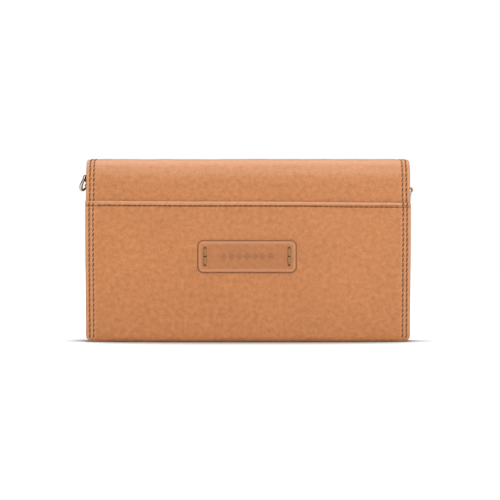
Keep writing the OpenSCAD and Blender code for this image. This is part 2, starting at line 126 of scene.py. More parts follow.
def new_material(name):
    """A material with its node tree, its shader's inputs, and nothing else yet."""
    made = bpy.data.materials.new(name)
    made.use_nodes = True
    return made, made.node_tree, made.node_tree.nodes["Principled BSDF"].inputs


studio_lens = bpy.data.cameras.new("studio_camera")
studio_lens.lens = 175.5
studio_lens.sensor_width = 36
studio_camera = put_out("studio_camera", studio_lens)
studio_camera.location = (camera_aside, slip_face - camera_distance, camera_height)
studio_camera.rotation_euler = (math.radians(90), 0, 0)
bpy.context.scene.camera = studio_camera
bpy.context.scene.view_settings.view_transform = "Standard"

overhead = bpy.data.lights.new("overhead_light", "SUN")
overhead.energy = 2.55
overhead.angle = math.radians(60)
overhead_light = put_out("overhead_light", overhead)
overhead_light.rotation_euler = (math.radians(-15), math.radians(-4), 0)

for light_name, place, size, power in (
    ("low_softbox", (0.35, -2.0, 0.36), 0.7, 6.5),
    ("high_softbox", (0.35, -1.45, 1.45), 0.9, 27.0),
):
    softbox = bpy.data.lights.new(light_name, "AREA")
    softbox.shape = "SQUARE"
    softbox.size = size
    softbox.energy = power
    softbox_stand = put_out(light_name, softbox)
    softbox_stand.location = place
    aim = Vector((0, 0, 0.05)) - softbox_stand.location
    softbox_stand.rotation_euler = aim.to_track_quat("-Z", "Y").to_euler()

white_room = bpy.data.worlds.new("white_room")
bpy.context.scene.world = white_room
white_room.use_nodes = True
room_tree = white_room.node_tree
seen = node(room_tree, "ShaderNodeLightPath").outputs["Is Camera Ray"]
brightness = node(room_tree, "ShaderNodeMapRange", {"Value": seen, "To Min": room_brightness, "To Max": 1.0})
room_tree.nodes["Background"].inputs["Color"].default_value = (1, 1, 1, 1)
room_tree.links.new(brightness.outputs["Result"], room_tree.nodes["Background"].inputs["Strength"])

# The paper is seen with a painted soft contact shadow and a faint glow, and throws plain white light back.
sweep_corners = [(x * sweep_half, y * sweep_half, 0) for x, y in ((-1, -1), (1, -1), (1, 1), (-1, 1))]
sweep_mesh = bpy.data.meshes.new("sweep")
sweep_mesh.from_pydata(sweep_corners, [], [(0, 1, 2, 3)])
sweep = put_out("sweep", sweep_mesh)
sweep_white, sweep_tree, sweep_surface = new_material("sweep_white")
contact = node(sweep_tree, "ShaderNodeAmbientOcclusion", {"Distance": shadow_reach}, samples=8)
# A painted contact shadow: the paper is darkened where ambient occlusion finds the wallet close by.
paper_with_painted_shadow = ramp(sweep_tree, contact.outputs["AO"], (0.5, [0.05] * 3), (0.97, [paper_white] * 3))
looked_at = node(sweep_tree, "ShaderNodeLightPath").outputs["Is Camera Ray"]
for socket, grey in (("Base Color", paper_white), ("Emission Color", 0)):
    sweep_tree.links.new(tint(sweep_tree, (grey, grey, grey, 1), looked_at, paper_with_painted_shadow), sweep_surface[socket])
sweep_surface["Emission Strength"].default_value = paper_glow
sweep_surface["Roughness"].default_value = 0.9
sweep_surface["Specular IOR Level"].default_value = 0.1
sweep_mesh.materials.append(sweep_white)
sweep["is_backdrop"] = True

# ---- Tan hide ------------------------------------------------------------------------------------
# Vegetable-tanned cowhide about 1.2 mm thick, dyed through, with its own fine grain, soft
# mottling and faint creases. Cut edges are burnished dark, and the seams hold dark wax with
# painted shade in their grooves. A paler tone over the arch, the hem's lip and the sewn edges is
# partly pull-up and partly painted sheen and highlight.


def noise(tree, place, scale, detail, more=None, **settings):
    """Smooth noise at that place, as a number from 0 to 1."""
    inputs = {"Vector": place, "Scale": scale, "Detail": detail, **(more or {})}
    return node(tree, "ShaderNodeTexNoise", inputs, **settings).outputs["Fac"]


def spread(tree, value, low, high):
    """Turns a noise value into a number between low and high."""
    limits = {"Value": value, "From Min": 0.3, "From Max": 0.7, "To Min": low, "To Max": high}
    return node(tree, "ShaderNodeMapRange", limits).outputs["Result"]


def bumps(tree, *layers):
    """Stacks (height, strength, distance) bumps and gives the normal."""
    normal = {}
    for height, strength, distance in layers:
        inputs = {"Height": height, "Strength": strength, "Distance": distance, **normal}
        normal = {"Normal": node(tree, "ShaderNodeBump", inputs).outputs["Normal"]}
    return normal["Normal"]


# A pale pull-up tone, also laid on as a painted sheen and highlight over the arch, the hem's lip and the sewn
# edges.
pull_up_sheen_tone = (0.72, 0.40, 0.24)
burnt_umber = (0.10, 0.036, 0.011)


def hide_material(name, light, dark, roughness, grain):
    """Dyed hide between two tones. It reads the piece's own hide map and its marks."""
    hide, tree, surface = new_material(name)
    place = node(tree, "ShaderNodeUVMap", uv_map="hide").outputs["UV"]
    cloud = noise(tree, place, 22.0, 3.0)
    mottle = noise(tree, place, 330.0, 5.0, {"Roughness": 0.62})
    crease = noise(tree, place, 95.0, 4.0, {"Distortion": 1.6}, noise_type="RIDGED_MULTIFRACTAL")
    pebble = node(tree, "ShaderNodeTexVoronoi", {"Vector": place, "Scale": 900.0}).outputs["Distance"]
    tone = ramp(tree, mottle, (0.3, dark), (0.7, light))
    cloudy = ramp(tree, cloud, (0.3, (0.93, 0.92, 0.90)), (0.7, (1.0, 1.0, 1.0)))
    pores = ramp(tree, pebble, (0.05, (0.84, 0.81, 0.78)), (0.4, (1, 1, 1)))
    for shading in (cloudy, pores):
        tone = tint(tree, tone, 1.0, shading, "MULTIPLY")
    # This mark tints the hide pale: partly real pull-up, partly a painted sheen and highlight.
    stretched = node(tree, "ShaderNodeAttribute", attribute_name="stretch").outputs["Fac"]
    tone = tint(tree, tone, stretched, (*pull_up_sheen_tone, 1))
    for mark in ("print", "seam", "rim"):
        where = node(tree, "ShaderNodeAttribute", attribute_name=mark).outputs["Fac"]
        tone = tint(tree, tone, where, (*burnt_umber, 1))
    tree.links.new(tone, surface["Base Color"])
    tree.links.new(spread(tree, mottle, roughness - 0.06, roughness + 0.06), surface["Roughness"])
    surface["Specular IOR Level"].default_value = 0.42
    grained = bumps(
        tree,
        (crease, 0.5 * grain, 0.1 * mm),
        (mottle, 0.9 * grain, 0.24 * mm),
        (pebble, 0.8 * grain, 0.09 * mm),
    )
    tree.links.new(grained, surface["Normal"])
    return hide


tan_hide = hide_material("tan_hide", (0.54, 0.213, 0.071), (0.40, 0.141, 0.035), 0.48, 1.0)

# ---- Cut sheets of hide --------------------------------------------------------------------------
# Every leather piece is cut flat and then bent, so it is made here as a closed sheet that
# follows a route in (Y, Z), with rounded edges and its own map: across it, and along the route.


def leather_route(start, heading, legs):
    """The route of a sheet's outer face: legs of (length, turn in degrees) from a start and a heading."""
    s, y, z, h = [0.0], [start[0]], [start[1]], [math.radians(heading)]
    for length, turn in legs:
        count = max(2, round(length / (0.1 * mm)))
        step = math.radians(turn) / count
        chord = length / count * (math.sin(step / 2) / (step / 2) if step else 1)
        for _ in range(count):
            middle = h[-1] + step / 2
            s.append(s[-1] + length / count)
            y.append(y[-1] + chord * math.cos(middle))
            z.append(z[-1] + chord * math.sin(middle))
            h.append(h[-1] + step)
    return tuple(np.array(v) for v in (s, y, z, h))


def folded_route(start, heading, first, fold_r, across, last):
    """A route along one side, round a quarter fold, across, round another and along the other side."""
    fold = (fold_r * math.pi / 2, -90)
    return leather_route(start, heading, [(first, 0), fold, (across, 0), fold, (last, 0)])


def on_route(route, s, out):
    """Points at distance s along a route, and out from its face, as Y, Z and heading."""
    h = np.interp(s, route[0], route[3])
    y = np.interp(s, route[0], route[1]) - out * np.sin(h)
    z = np.interp(s, route[0], route[2]) + out * np.cos(h)
    return y, z, h


def ripple(x, s, length, seed):
    """Smooth unevenness of about unit height, from a few crossed waves."""
    draw = np.random.default_rng(seed)
    total = 0.0
    for _ in range(6):
        turn = draw.uniform(0, math.tau)
        wave = length * draw.uniform(0.7, 1.6)
        phase = draw.uniform(0, math.tau)
        total = total + np.sin((x * math.cos(turn) + s * math.sin(turn)) * math.tau / wave + phase)
    return total / 3


edge_steps = np.array([0, 0.06, 0.14, 0.25, 0.4]) * mm
rim_w = 0.3 * mm


def merged(rows):
    """Rows of several spacings in one order, without doubles."""
    return np.unique(np.round(np.concatenate(rows), 7))


def rows_between(start, stop, step, corners=(0, 0), free=(True, True)):
    """Rows from start to stop, closer together at a free edge and over a rounded corner."""
    rows = [np.arange(start, stop, step), [start, stop]]
    for end, inward, corner, cut in ((start, 1, corners[0], free[0]), (stop, -1, corners[1], free[1])):
        if cut:
            rows.append(end + inward * edge_steps)
        if corner:
            rows.append(end + inward * corner * (1 - np.cos(np.radians(np.arange(5, 90, 5)))))
    rows = merged(rows)
    kept = [rows[0]]
    for row in rows[1:-1]:
        if row - kept[-1] > 0.04 * mm and rows[-1] - row > 0.04 * mm:
            kept.append(row)
    return np.array(kept + [rows[-1]])


def cornered_half(s, low, high, half, corner_low, corner_high):
    """Half the width of a sheet at s, with rounded corners at its low and high ends."""
    width = np.full_like(s, half)
    for corner, gap in ((corner_low, s - low), (corner_high, high - s)):
        inside = np.clip(corner - gap, 0, corner)
        width = np.minimum(width, half - corner + np.sqrt(corner**2 - inside**2))
    return width


def cornered_gap(x, s, low, high, half, corner_low, corner_high):
    """Distance inside the edge of a sheet with rounded corners."""
    gap = half - np.abs(x)
    for corner, end in ((corner_low, s - low), (corner_high, high - s)):
        in_corner = (gap < corner) & (end < corner)
        gap = np.where(in_corner, corner - np.hypot(corner - gap, corner - end), np.minimum(gap, end))
    return gap


def sheet_mesh(name, points, count, across):
    """A closed shell from an outer grid of points and an inner one below it."""
    i, j = np.meshgrid(np.arange(count - 1), np.arange(across - 1), indexing="ij")
    first = (i * across + j).ravel()
    outer = np.stack([first, first + 1, first + across + 1, first + across], axis=1)
    under = count * across
    left = np.arange(count - 1) * across
    right = left + across - 1
    low = np.arange(across - 1)
    high = low + (count - 1) * across
    walls = [
        np.stack([left, left + across, left + across + under, left + under], axis=1),
        np.stack([right, right + under, right + across + under, right + across], axis=1),
        np.stack([low, low + under, low + 1 + under, low + 1], axis=1),
        np.stack([high, high + 1, high + 1 + under, high + under], axis=1),
    ]
    quads = np.concatenate([outer, outer[:, ::-1] + under] + walls)
    mesh = bpy.data.meshes.new(name)
    mesh.from_pydata(points.tolist(), [], quads.tolist())
    mesh.polygons.foreach_set("use_smooth", [True] * len(quads))
    return mesh


def crease_cut_ends(mesh, count, across, free):
    """Keeps an end sharp where the hide runs on as another piece."""
    pair = np.empty(len(mesh.edges) * 2, dtype=np.int32)
    mesh.edges.foreach_get("vertices", pair)
    row = pair.reshape(-1, 2) % (count * across) // across
    sharp = np.zeros(len(mesh.edges), dtype=bool)
    for end, at_row in zip(free, (0, count - 1)):
        if not end:
            sharp |= (row == at_row).all(axis=1)
    mesh.attributes.new("sharp_edge", "BOOLEAN", "EDGE").data.foreach_set("value", sharp)


def leather_sheet(name, material, route, rows, half, thickness, relief=None, marks=None, sunk=0.0,
                  shown="outer", side_rows=0.0, fine=0.36 * mm, coarse=2.2 * mm, free=(True, True),
                  gap=None, slide=None, place=None, edge=0.42, burnish=0.8):
    """A closed sheet along a route. relief, marks and gap are functions of x, s and the distance to the edge.

    half is the half width at each row, sunk how far the outer face lies under the route, and
    side_rows the width at each side that gets fine columns. relief shapes the shown face.
    """
    inset = np.concatenate([edge_steps, np.arange(0.7 * mm, max(side_rows, 0.8 * mm), fine)])
    middle = max(3, round(2 * (half.max() - inset[-1]) / coarse))
    share = np.linspace(-1, 1, middle)[1:-1]
    sides = half[:, None]
    x = np.concatenate([inset - sides, (sides - inset[-1]) * share, sides - inset[::-1]], axis=1)
    s = np.repeat(rows[:, None], x.shape[1], axis=1)
    if slide:
        s = s + slide(x, s)
    low_room = s - rows[0] if free[0] else np.inf
    high_room = rows[-1] - s if free[1] else np.inf
    room = np.minimum(sides - np.abs(x), np.minimum(low_room, high_room)) if gap is None else gap(x, s)
    room = np.maximum(room, 0)
    bevel = edge * thickness
    drop = bevel - np.sqrt(np.maximum(bevel**2 - np.clip(bevel - room, 0, bevel) ** 2, 0))
    raised = relief(x, s, room) if relief else np.zeros_like(x)
    outer_out = -sunk - drop + (raised if shown == "outer" else 0)
    inner_out = -sunk - thickness + drop - (raised if shown == "inner" else 0)
    faces = []
    for out in (outer_out, inner_out):
        y, z, _ = on_route(route, s, out)
        faces.append(np.stack([x, y, z], axis=-1).reshape(-1, 3))
    points = np.concatenate(faces)
    if place:
        points = place(points)
    count, across = x.shape
    mesh = sheet_mesh(name, points, count, across)
    rim = np.clip(1 - room.ravel() / rim_w, 0, 1) * burnish
    values = {"rim": np.tile(rim, 2)}
    for mark, field in (marks(x, s, room) if marks else {}).items():
        both = [field.ravel(), np.zeros(field.size)]
        values[mark] = np.concatenate(both if shown == "outer" else both[::-1])
    for mark, value in values.items():
        mesh.attributes.new(mark, "FLOAT", "POINT").data.foreach_set("value", value.astype(np.float32))
    corner = np.empty(len(mesh.loops), dtype=np.int32)
    mesh.loops.foreach_get("vertex_index", corner)
    flat = np.tile(np.stack([x.ravel(), s.ravel()], axis=1), (2, 1))
    mesh.uv_layers.new(name="hide").data.foreach_set("uv", flat[corner].astype(np.float32).ravel())
    crease_cut_ends(mesh, count, across, free)
    mesh.materials.append(material)
    return put_out(name, mesh)

# ---- Slip pocket and base ------------------------------------------------------------------------
# The lower hide starts at the slip pocket's mouth, runs down the back, round under the base and
# up the front. This piece is its back and base, sewn through the cover by two rows at each side.
stitch_pitch = 3.1 * mm
seam_rows = (2.35 * mm, 4.75 * mm)
seam_middle = sum(seam_rows) / 2
seam_band = 7.5 * mm
patch_below_mouth = 34.4 * mm
hide_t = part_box("base_stiffener")[0].z
base_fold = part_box("base_stiffener")[0].y - slip_face
slip_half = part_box("back_pocket_panel")[1].x + 0.2 * mm
mouth_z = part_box("back_pocket_panel")[1].z
front_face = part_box("front_panel")[1].y
front_top_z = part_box("front_panel")[1].z
front_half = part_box("front_panel")[1].x
hem_depth = 3.1 * mm
base_corner = 3.7 * mm
base_draw = 0.5 * mm
base_quarter = base_fold * math.pi / 2
base_l = front_face - slip_face - 2 * base_fold
front_low_s = front_top_z - base_fold
lower_route = folded_route(
    (front_face, front_top_z), -90,
    front_low_s, base_fold, base_l, mouth_z - base_fold,
)
base_front_s = front_low_s + base_quarter
base_middle_s = base_front_s + base_l / 2
base_back_s = base_front_s + base_l
slip_low_s = base_back_s + base_quarter
mouth_s = lower_route[0][-1]
hem_s = mouth_s - hem_depth


def bell(away, reach):
    """1 in the middle of a bump or groove, falling softly to 0 over that reach."""
    return np.exp(-((away / reach) ** 2))


def seam_relief(gap, run):
    """How the seam rows shape the hide: grooves, slanting puckers and padding between the rows."""
    beat = run / stitch_pitch * math.tau
    groove = sum(bell(gap - row, 0.42 * mm) for row in seam_rows)
    between = bell(gap - seam_middle, 0.7 * mm)
    outside = bell(gap - 1.0 * mm, 0.7 * mm)
    near = np.clip(1.3 - np.abs(gap - seam_middle) / (3.2 * mm), 0, 1)
    pucker = np.cos(beat + gap / mm * 1.3) * near
    return (-0.24 * groove * (1 - 0.4 * np.cos(beat)) + 0.17 * between + 0.1 * outside + 0.05 * pucker) * mm


def seam_wax_and_shade(gap, run):
    """Where dark wax and painted shade gather along the seam rows."""
    beat = run / stitch_pitch * math.tau
    groove = sum(bell(gap - row, 0.3 * mm) for row in seam_rows)
    return np.clip(groove * (0.4 - 0.26 * np.cos(beat)), 0, 1)


def lower_half(s):
    """The lower hide's half width: drawn in towards the base, with rounded corners there."""
    _, z, _ = on_route(lower_route, s, 0)
    corner = base_corner - np.sqrt(base_corner**2 - np.clip(base_corner - z, 0, base_corner) ** 2)
    drawn = base_draw * np.clip(1 - z / (70 * mm), 0, 1) ** 1.2
    share = np.clip((s - base_front_s) / base_l, 0, 1)
    return front_half + (slip_half - front_half) * share - corner - drawn


def hem_slide(x, s):
    """The mouth isn't quite level: it falls to the right and waves a little."""
    fall = -0.62 * mm * (1 + x / slip_half) + 0.12 * mm * np.sin(x / (21 * mm) + 0.6)
    return fall * np.clip((s - hem_s) / (18 * mm) + 1, 0, 1)


def upright(s, over):
    """1 on the lower hide's back and front, and 0 at its base, over that length."""
    return np.clip((s - slip_low_s) / over + 1, 0, 1) + np.clip((front_low_s - s) / over + 1, 0, 1)


def lower_relief(x, s, gap):
    side = lower_half(s) - np.abs(x)
    past_patch = mouth_s - s - patch_below_mouth
    off_patch = 1 - np.exp(-((x / (40 * mm)) ** 4) - ((past_patch / (15 * mm)) ** 4))
    loose = np.clip(side / (9 * mm), 0, 1) * upright(s - 9 * mm, 9 * mm) * off_patch
    soft = 0.14 * ripple(x, s, 52 * mm, 3) + 0.05 * ripple(x, s, 15 * mm, 4) + 0.02 * ripple(x, s, 4 * mm, 5)
    return soft * mm * loose + seam_relief(side, s) * upright(s, 5 * mm)


def seam_paling_and_sheen(gap):
    """The hide is paler all along its sewn edge: partly pulled up, partly a painted sheen and highlight on
    the padded band and the rounded edge.
    """
    return 0.2 * np.clip((6.8 * mm - gap) / (1.6 * mm), 0, 1) + 0.12 * np.exp(-gap / (1.2 * mm))


def lower_marks(x, s, gap):
    side = lower_half(s) - np.abs(x)
    # Dark wax with painted shade along the seam rows, and a pale edge that is partly pull-up, partly painted
    # sheen.
    return {"seam": seam_wax_and_shade(side, s) * upright(s, 5 * mm), "stretch": seam_paling_and_sheen(side)}


slip_rows = np.concatenate([
    np.linspace(base_middle_s, base_back_s, 5)[:-1],
    np.linspace(base_back_s, slip_low_s, 14)[:-1],
    rows_between(slip_low_s, hem_s, 0.52 * mm, free=(False, False)),
])
slip_pocket = leather_sheet(
    "slip_pocket_hide", tan_hide, lower_route, slip_rows, lower_half(slip_rows), hide_t,
    lower_relief, lower_marks, side_rows=seam_band, free=(False, True), slide=hem_slide,
)
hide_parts("back_pocket_panel", "base_panel")
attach(slip_pocket, "back_section")

# ---- Turned hem ----------------------------------------------------------------------------------
# The pocket's mouth is turned over on itself and sewn down 3 mm below the edge, which leaves
# a plump band over a dark row of stitches.
hem_rows = rows_between(hem_s, mouth_s, 0.2 * mm)
hem_plump = 0.38 * mm


def hem_rise(x, s):
    """0 at the hem's stitches and 1 at the pocket's mouth."""
    return np.clip((s - hem_slide(x, s) - hem_s) / hem_depth, 0, 1)


def hem_relief(x, s, gap):
    rise = hem_rise(x, s)
    beat = np.cos(x / stitch_pitch * math.tau)
    side = lower_half(s) - np.abs(x)
    uneven = (0.05 * beat * (1 - rise) + 0.04 * ripple(x, s, 9 * mm, 8)) * mm
    return hem_plump * np.sin(rise * math.pi) ** 0.6 + uneven + seam_relief(side, s) * 0.9


def hem_marks(x, s, gap):
    # The hem is painted paler towards its upper lip: a painted highlight where the band turns up, with a
    # little pull-up.
    return {"seam": lower_marks(x, s, gap)["seam"], "stretch": 0.12 + 0.3 * hem_rise(x, s) ** 2}


hem = leather_sheet(
    "slip_pocket_hem", tan_hide, lower_route, hem_rows, lower_half(hem_rows), hide_t + 0.1 * mm,
    hem_relief, hem_marks, side_rows=seam_band, coarse=0.6 * mm, slide=hem_slide, edge=0.46, burnish=0.08,
)
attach(hem, "back_section")

# ---- Cover hide ----------------------------------------------------------------------------------
# One hide from behind the slip pocket, up over the rounded top and down the front as the flap.
# It bends at two folds, so it is made as a back half and a flap half that meet on the crown.
cover_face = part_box("back_panel")[0].y
flap_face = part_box("flap_front")[1].y
flap_low_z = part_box("flap_front")[0].z
crown_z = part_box("flap_top")[1].z
cover_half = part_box("back_panel")[1].x + 0.5 * mm
arch_r = 12.4 * mm
flap_corner = 12 * mm
top_corner = 1.3 * mm
top_draw = 0.15 * mm
arch_back_s = crown_z - arch_r - base_fold
flap_drop = crown_z - arch_r - flap_low_z
cover_route = folded_route(
    (cover_face, base_fold), 90,
    arch_back_s, arch_r, flap_face - cover_face - 2 * arch_r, flap_drop,
)
flap_end_s = cover_route[0][-1]
arch_front_s = flap_end_s - flap_drop
crown_s = (arch_back_s + arch_front_s) / 2
flap_corner_s = flap_end_s - flap_corner
flap_corner_x = cover_half - flap_corner
row_turn_r = flap_corner - seam_middle
half_run = flap_corner_s + row_turn_r * math.pi / 2 + flap_corner_x


def cover_draw(s):
    """How far the cover's sides are drawn in towards its rounded top."""
    _, z, _ = on_route(cover_route, s, 0)
    corner = top_corner - np.sqrt(top_corner**2 - np.clip(top_corner - (crown_z - z), 0, top_corner) ** 2)
    return corner + top_draw * np.clip((z - 84 * mm) / (24 * mm), 0, 1)


def cover_gap(x, s, inset=0.0):
    """Distance inside the cover's edge, round the flap's corners."""
    return cornered_gap(np.abs(x) + cover_draw(s), s, 0, flap_end_s, cover_half, 0, flap_corner) - inset


def cover_width(s, inset=0.0):
    """Half the cover's width, or of a layer cut that much smaller."""
    outline = cornered_half(s, -1, flap_end_s - inset, cover_half - inset, 0, flap_corner - inset)
    return outline - cover_draw(s)


def edge_run(x, s):
    """Distance along the seam rows from the flap's middle, which sets where each stitch falls."""
    turn = np.arctan2(np.maximum(s - flap_corner_s, 0), np.maximum(np.abs(x) - flap_corner_x, 1e-6))
    along_end = np.minimum(np.abs(x), flap_corner_x)
    corner = along_end + row_turn_r * (math.pi / 2 - turn)
    return np.where(s < flap_corner_s, half_run - s, corner)


def cover_relief(x, s, gap):
    gap = cover_gap(x, s)
    soft = 0.14 * ripple(x, s, 58 * mm, 11) + 0.05 * ripple(x, s, 17 * mm, 12)
    soft = soft + 0.02 * ripple(x, s, 4 * mm, 13)
    crown = 0.35 * np.exp(-(((s - crown_s) / (14 * mm)) ** 4))
    return (soft + crown) * mm * np.clip(gap / (9 * mm), 0, 1) + seam_relief(gap, edge_run(x, s))


def cover_marks(x, s, gap):
    # over_top paints the crown of the arch paler: a painted sheen and highlight, with some pull-up where the
    # hide bends.
    over_back = np.clip((s - arch_back_s + 3 * mm) / (14 * mm), 0, 1)
    over_front = np.clip((arch_front_s + 3 * mm - s) / (14 * mm), 0, 1)
    over_top = over_back * over_front
    edge = cover_gap(x, s)
    return {"seam": seam_wax_and_shade(edge, edge_run(x, s)), "stretch": np.maximum(seam_paling_and_sheen(edge), 0.24 * over_top)}


hidden_l = arch_back_s - 24 * mm
back_rows = np.concatenate([
    rows_between(0, hidden_l, 4 * mm, free=(True, False))[:-1],
    rows_between(hidden_l, crown_s, 0.5 * mm, free=(False, False)),
])
cover_back = leather_sheet(
    "cover_back_hide", tan_hide, cover_route, back_rows, cover_width(back_rows), hide_t,
    cover_relief, cover_marks, side_rows=seam_band, free=(True, False), gap=cover_gap,
)
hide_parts("back_panel", "flap_top")
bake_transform(cover_back)

flap_rows = rows_between(crown_s, flap_end_s, 0.5 * mm, (0, flap_corner), (False, True))
cover_flap = leather_sheet(
    "cover_flap_hide", tan_hide, cover_route, flap_rows, cover_width(flap_rows), hide_t,
    cover_relief, cover_marks, side_rows=15 * mm, fine=0.42 * mm, free=(False, True), gap=cover_gap,
)
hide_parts("flap_front")
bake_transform(cover_flap)

# ---- Front hide ----------------------------------------------------------------------------------
# The lower hide's other end: from the middle of the base round the front fold to the top edge
# of the front.
front_corner = 2.6 * mm


def front_width(s, inset=0.0):
    outline = cornered_half(s, inset, 1, front_half - inset, front_corner, 0)
    return np.minimum(outline, lower_half(s) - inset)


front_rows = rows_between(0, base_middle_s, 0.56 * mm, (front_corner, 0), (True, False))
front_hide = leather_sheet(
    "front_hide", tan_hide, lower_route, front_rows, front_width(front_rows), hide_t,
    lower_relief, lower_marks, side_rows=seam_band, free=(True, False),
)
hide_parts("front_panel")
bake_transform(front_hide)

# ---- Stiffener boards ----------------------------------------------------------------------------
# Half a millimetre of bonded leather fibre between hide and lining, cut 1 mm smaller, so that
# only its grey-brown edge shows. The base has a board of its own.
board_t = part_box("base_stiffener")[1].z - hide_t
cut_back = 1 * mm


def board_material():
    board, tree, surface = new_material("bonded_board")
    place = node(tree, "ShaderNodeTexCoord").outputs["Object"]
    stretched = node(tree, "ShaderNodeMapping", {"Vector": place, "Scale": (300, 900, 900)})
    fibre = noise(tree, stretched.outputs["Vector"], 1.0, 6.0)
    colour = ramp(tree, fibre, (0.3, (0.15, 0.12, 0.085)), (0.7, (0.30, 0.25, 0.18)))
    tree.links.new(colour, surface["Base Color"])
    tree.links.new(spread(tree, fibre, 0.8, 0.95), surface["Roughness"])
    tree.links.new(bumps(tree, (fibre, 0.4, 0.05 * mm)), surface["Normal"])
    return board


bonded_board = board_material()


def cover_layer(name, material, start, stop, thickness, sunk, free, **more):
    """A board or lining under one half of the cover, cut back from its edge."""
    rows = rows_between(start, stop, 0.9 * mm, (0, flap_corner if free[1] else 0), free)
    return leather_sheet(
        name, material, cover_route, rows, cover_width(rows, cut_back), thickness, sunk=sunk,
        gap=lambda x, s: np.minimum(cover_gap(x, s, cut_back), s - start if free[0] else np.inf),
        free=free, **more,
    )


back_board = cover_layer(
    "back_board", bonded_board, 0, crown_s, board_t, hide_t, (True, False), coarse=4 * mm
)
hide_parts("back_stiffener", "flap_top_stiffener")
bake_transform(back_board)

flap_board = cover_layer(
    "flap_board", bonded_board, crown_s, flap_end_s - cut_back, board_t, hide_t, (False, True), coarse=4 * mm
)
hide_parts("flap_front_stiffener")
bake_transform(flap_board)

front_board_rows = rows_between(cut_back, front_low_s, 3 * mm, (front_corner, 0))
front_board = leather_sheet(
    "front_board", bonded_board, lower_route, front_board_rows, front_width(front_board_rows, cut_back),
    board_t, sunk=hide_t, coarse=4 * mm,
)
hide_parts("front_stiffener")
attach(front_board, "front_section")

base_board_rows = rows_between(base_front_s, base_back_s, 2 * mm)
base_board = leather_sheet(
    "base_board", bonded_board, lower_route, base_board_rows, lower_half(base_board_rows), board_t,
    sunk=hide_t, coarse=4 * mm,
)
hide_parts("base_stiffener")
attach(base_board, "back_section")

# ---- Linings -------------------------------------------------------------------------------------
# Thin pigskin, a little browner and more matt than the hide, bonded to the boards and caught
# in the same seams, so its shown face is drawn in along the stitch rows too.
lining_hide = hide_material("lining_hide", (0.34, 0.165, 0.078), (0.27, 0.125, 0.056), 0.72, 0.8)
lining_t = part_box("front_lining")[1].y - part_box("front_lining")[0].y
lining_sunk = hide_t + board_t


def lining_relief(x, s, gap):
    return 0.5 * seam_relief(gap + cut_back, edge_run(x, s)) + 0.03 * mm * ripple(x, s, 20 * mm, 21)


def lining_marks(x, s, gap):
    return {"seam": 0.6 * seam_wax_and_shade(gap + cut_back, edge_run(x, s))}


back_lining = cover_layer(
    "back_lining_skin", lining_hide, 0, crown_s, lining_t, lining_sunk, (True, False),
    relief=lining_relief, marks=lining_marks, shown="inner", side_rows=6 * mm, fine=0.5 * mm, coarse=3 * mm,
)
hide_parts("back_lining", "flap_top_lining")
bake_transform(back_lining)

flap_lining = cover_layer(
    "flap_lining_skin", lining_hide, crown_s, flap_end_s - cut_back, lining_t, lining_sunk, (False, True),
    relief=lining_relief, marks=lining_marks, shown="inner", side_rows=14 * mm, fine=0.6 * mm, coarse=3 * mm,
)
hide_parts("flap_front_lining")
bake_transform(flap_lining)


def front_lining_relief(x, s, gap):
    return 0.5 * seam_relief(front_half - np.abs(x), s) + 0.03 * mm * ripple(x, s, 20 * mm, 22)


front_lining_rows = rows_between(cut_back, front_low_s, 0.9 * mm, (front_corner, 0))
front_lining = leather_sheet(
    "front_lining_skin", lining_hide, lower_route, front_lining_rows,
    front_width(front_lining_rows, cut_back), lining_t, front_lining_relief, sunk=lining_sunk, shown="inner",
    side_rows=6 * mm, fine=0.5 * mm, coarse=3 * mm,
)
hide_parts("front_lining")
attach(front_lining, "front_section")

# ---- Seams ---------------------------------------------------------------------------------------
# Waxed brown thread, 0.6 mm thick, sewn at 3.1 mm a stitch. Each stitch arches out of one hole
# and down into the next, lying a little askew, as a machine leaves it.
thread_t = 0.6 * mm
stitch_l = 2.55 * mm
thread_lift = 0.1 * mm
rows_past_fold = 3.7 * mm


def thread_material(name, light, dark):
    """Waxed thread, with the light and dark lines of its plies."""
    thread, tree, surface = new_material(name)
    place = node(tree, "ShaderNodeTexCoord").outputs["Object"]
    wave = {"Vector": place, "Scale": 420.0, "Distortion": 2.0, "Detail": 2.0}
    plies = node(tree, "ShaderNodeTexWave", wave, bands_direction="DIAGONAL").outputs["Fac"]
    fuzz = noise(tree, place, 2600.0, 3.0)
    tone = ramp(tree, plies, (0.15, dark), (0.85, light))
    tree.links.new(tint(tree, tone, 0.5, ramp(tree, fuzz, (0.3, dark), (0.7, light))), surface["Base Color"])
    tree.links.new(spread(tree, fuzz, 0.5, 0.68), surface["Roughness"])
    surface["Specular IOR Level"].default_value = 0.25
    tree.links.new(bumps(tree, (plies, 0.7, 0.06 * mm), (fuzz, 0.4, 0.02 * mm)), surface["Normal"])
    return thread


brown_thread = thread_material("brown_thread", (0.22, 0.076, 0.020), (0.11, 0.036, 0.009))


def new_tree(name, sizes):
    """A Geometry Nodes tree with a geometry in and out, a material, and named sizes."""
    tree = bpy.data.node_groups.new(name, "GeometryNodeTree")
    tree.interface.new_socket("Geometry", in_out="INPUT", socket_type="NodeSocketGeometry")
    tree.interface.new_socket("Material", in_out="INPUT", socket_type="NodeSocketMaterial")
    for size in sizes:
        tree.interface.new_socket(size, in_out="INPUT", socket_type="NodeSocketFloat")
    tree.interface.new_socket("Geometry", in_out="OUTPUT", socket_type="NodeSocketGeometry")
    start = node(tree, "NodeGroupInput")
    end = node(tree, "NodeGroupOutput")
    return tree, start.outputs, end.inputs


def reckon(tree, operation, *numbers):
    """The result of a sum on sockets and numbers."""
    return node(tree, "ShaderNodeMath", dict(enumerate(numbers)), operation=operation).outputs[0]


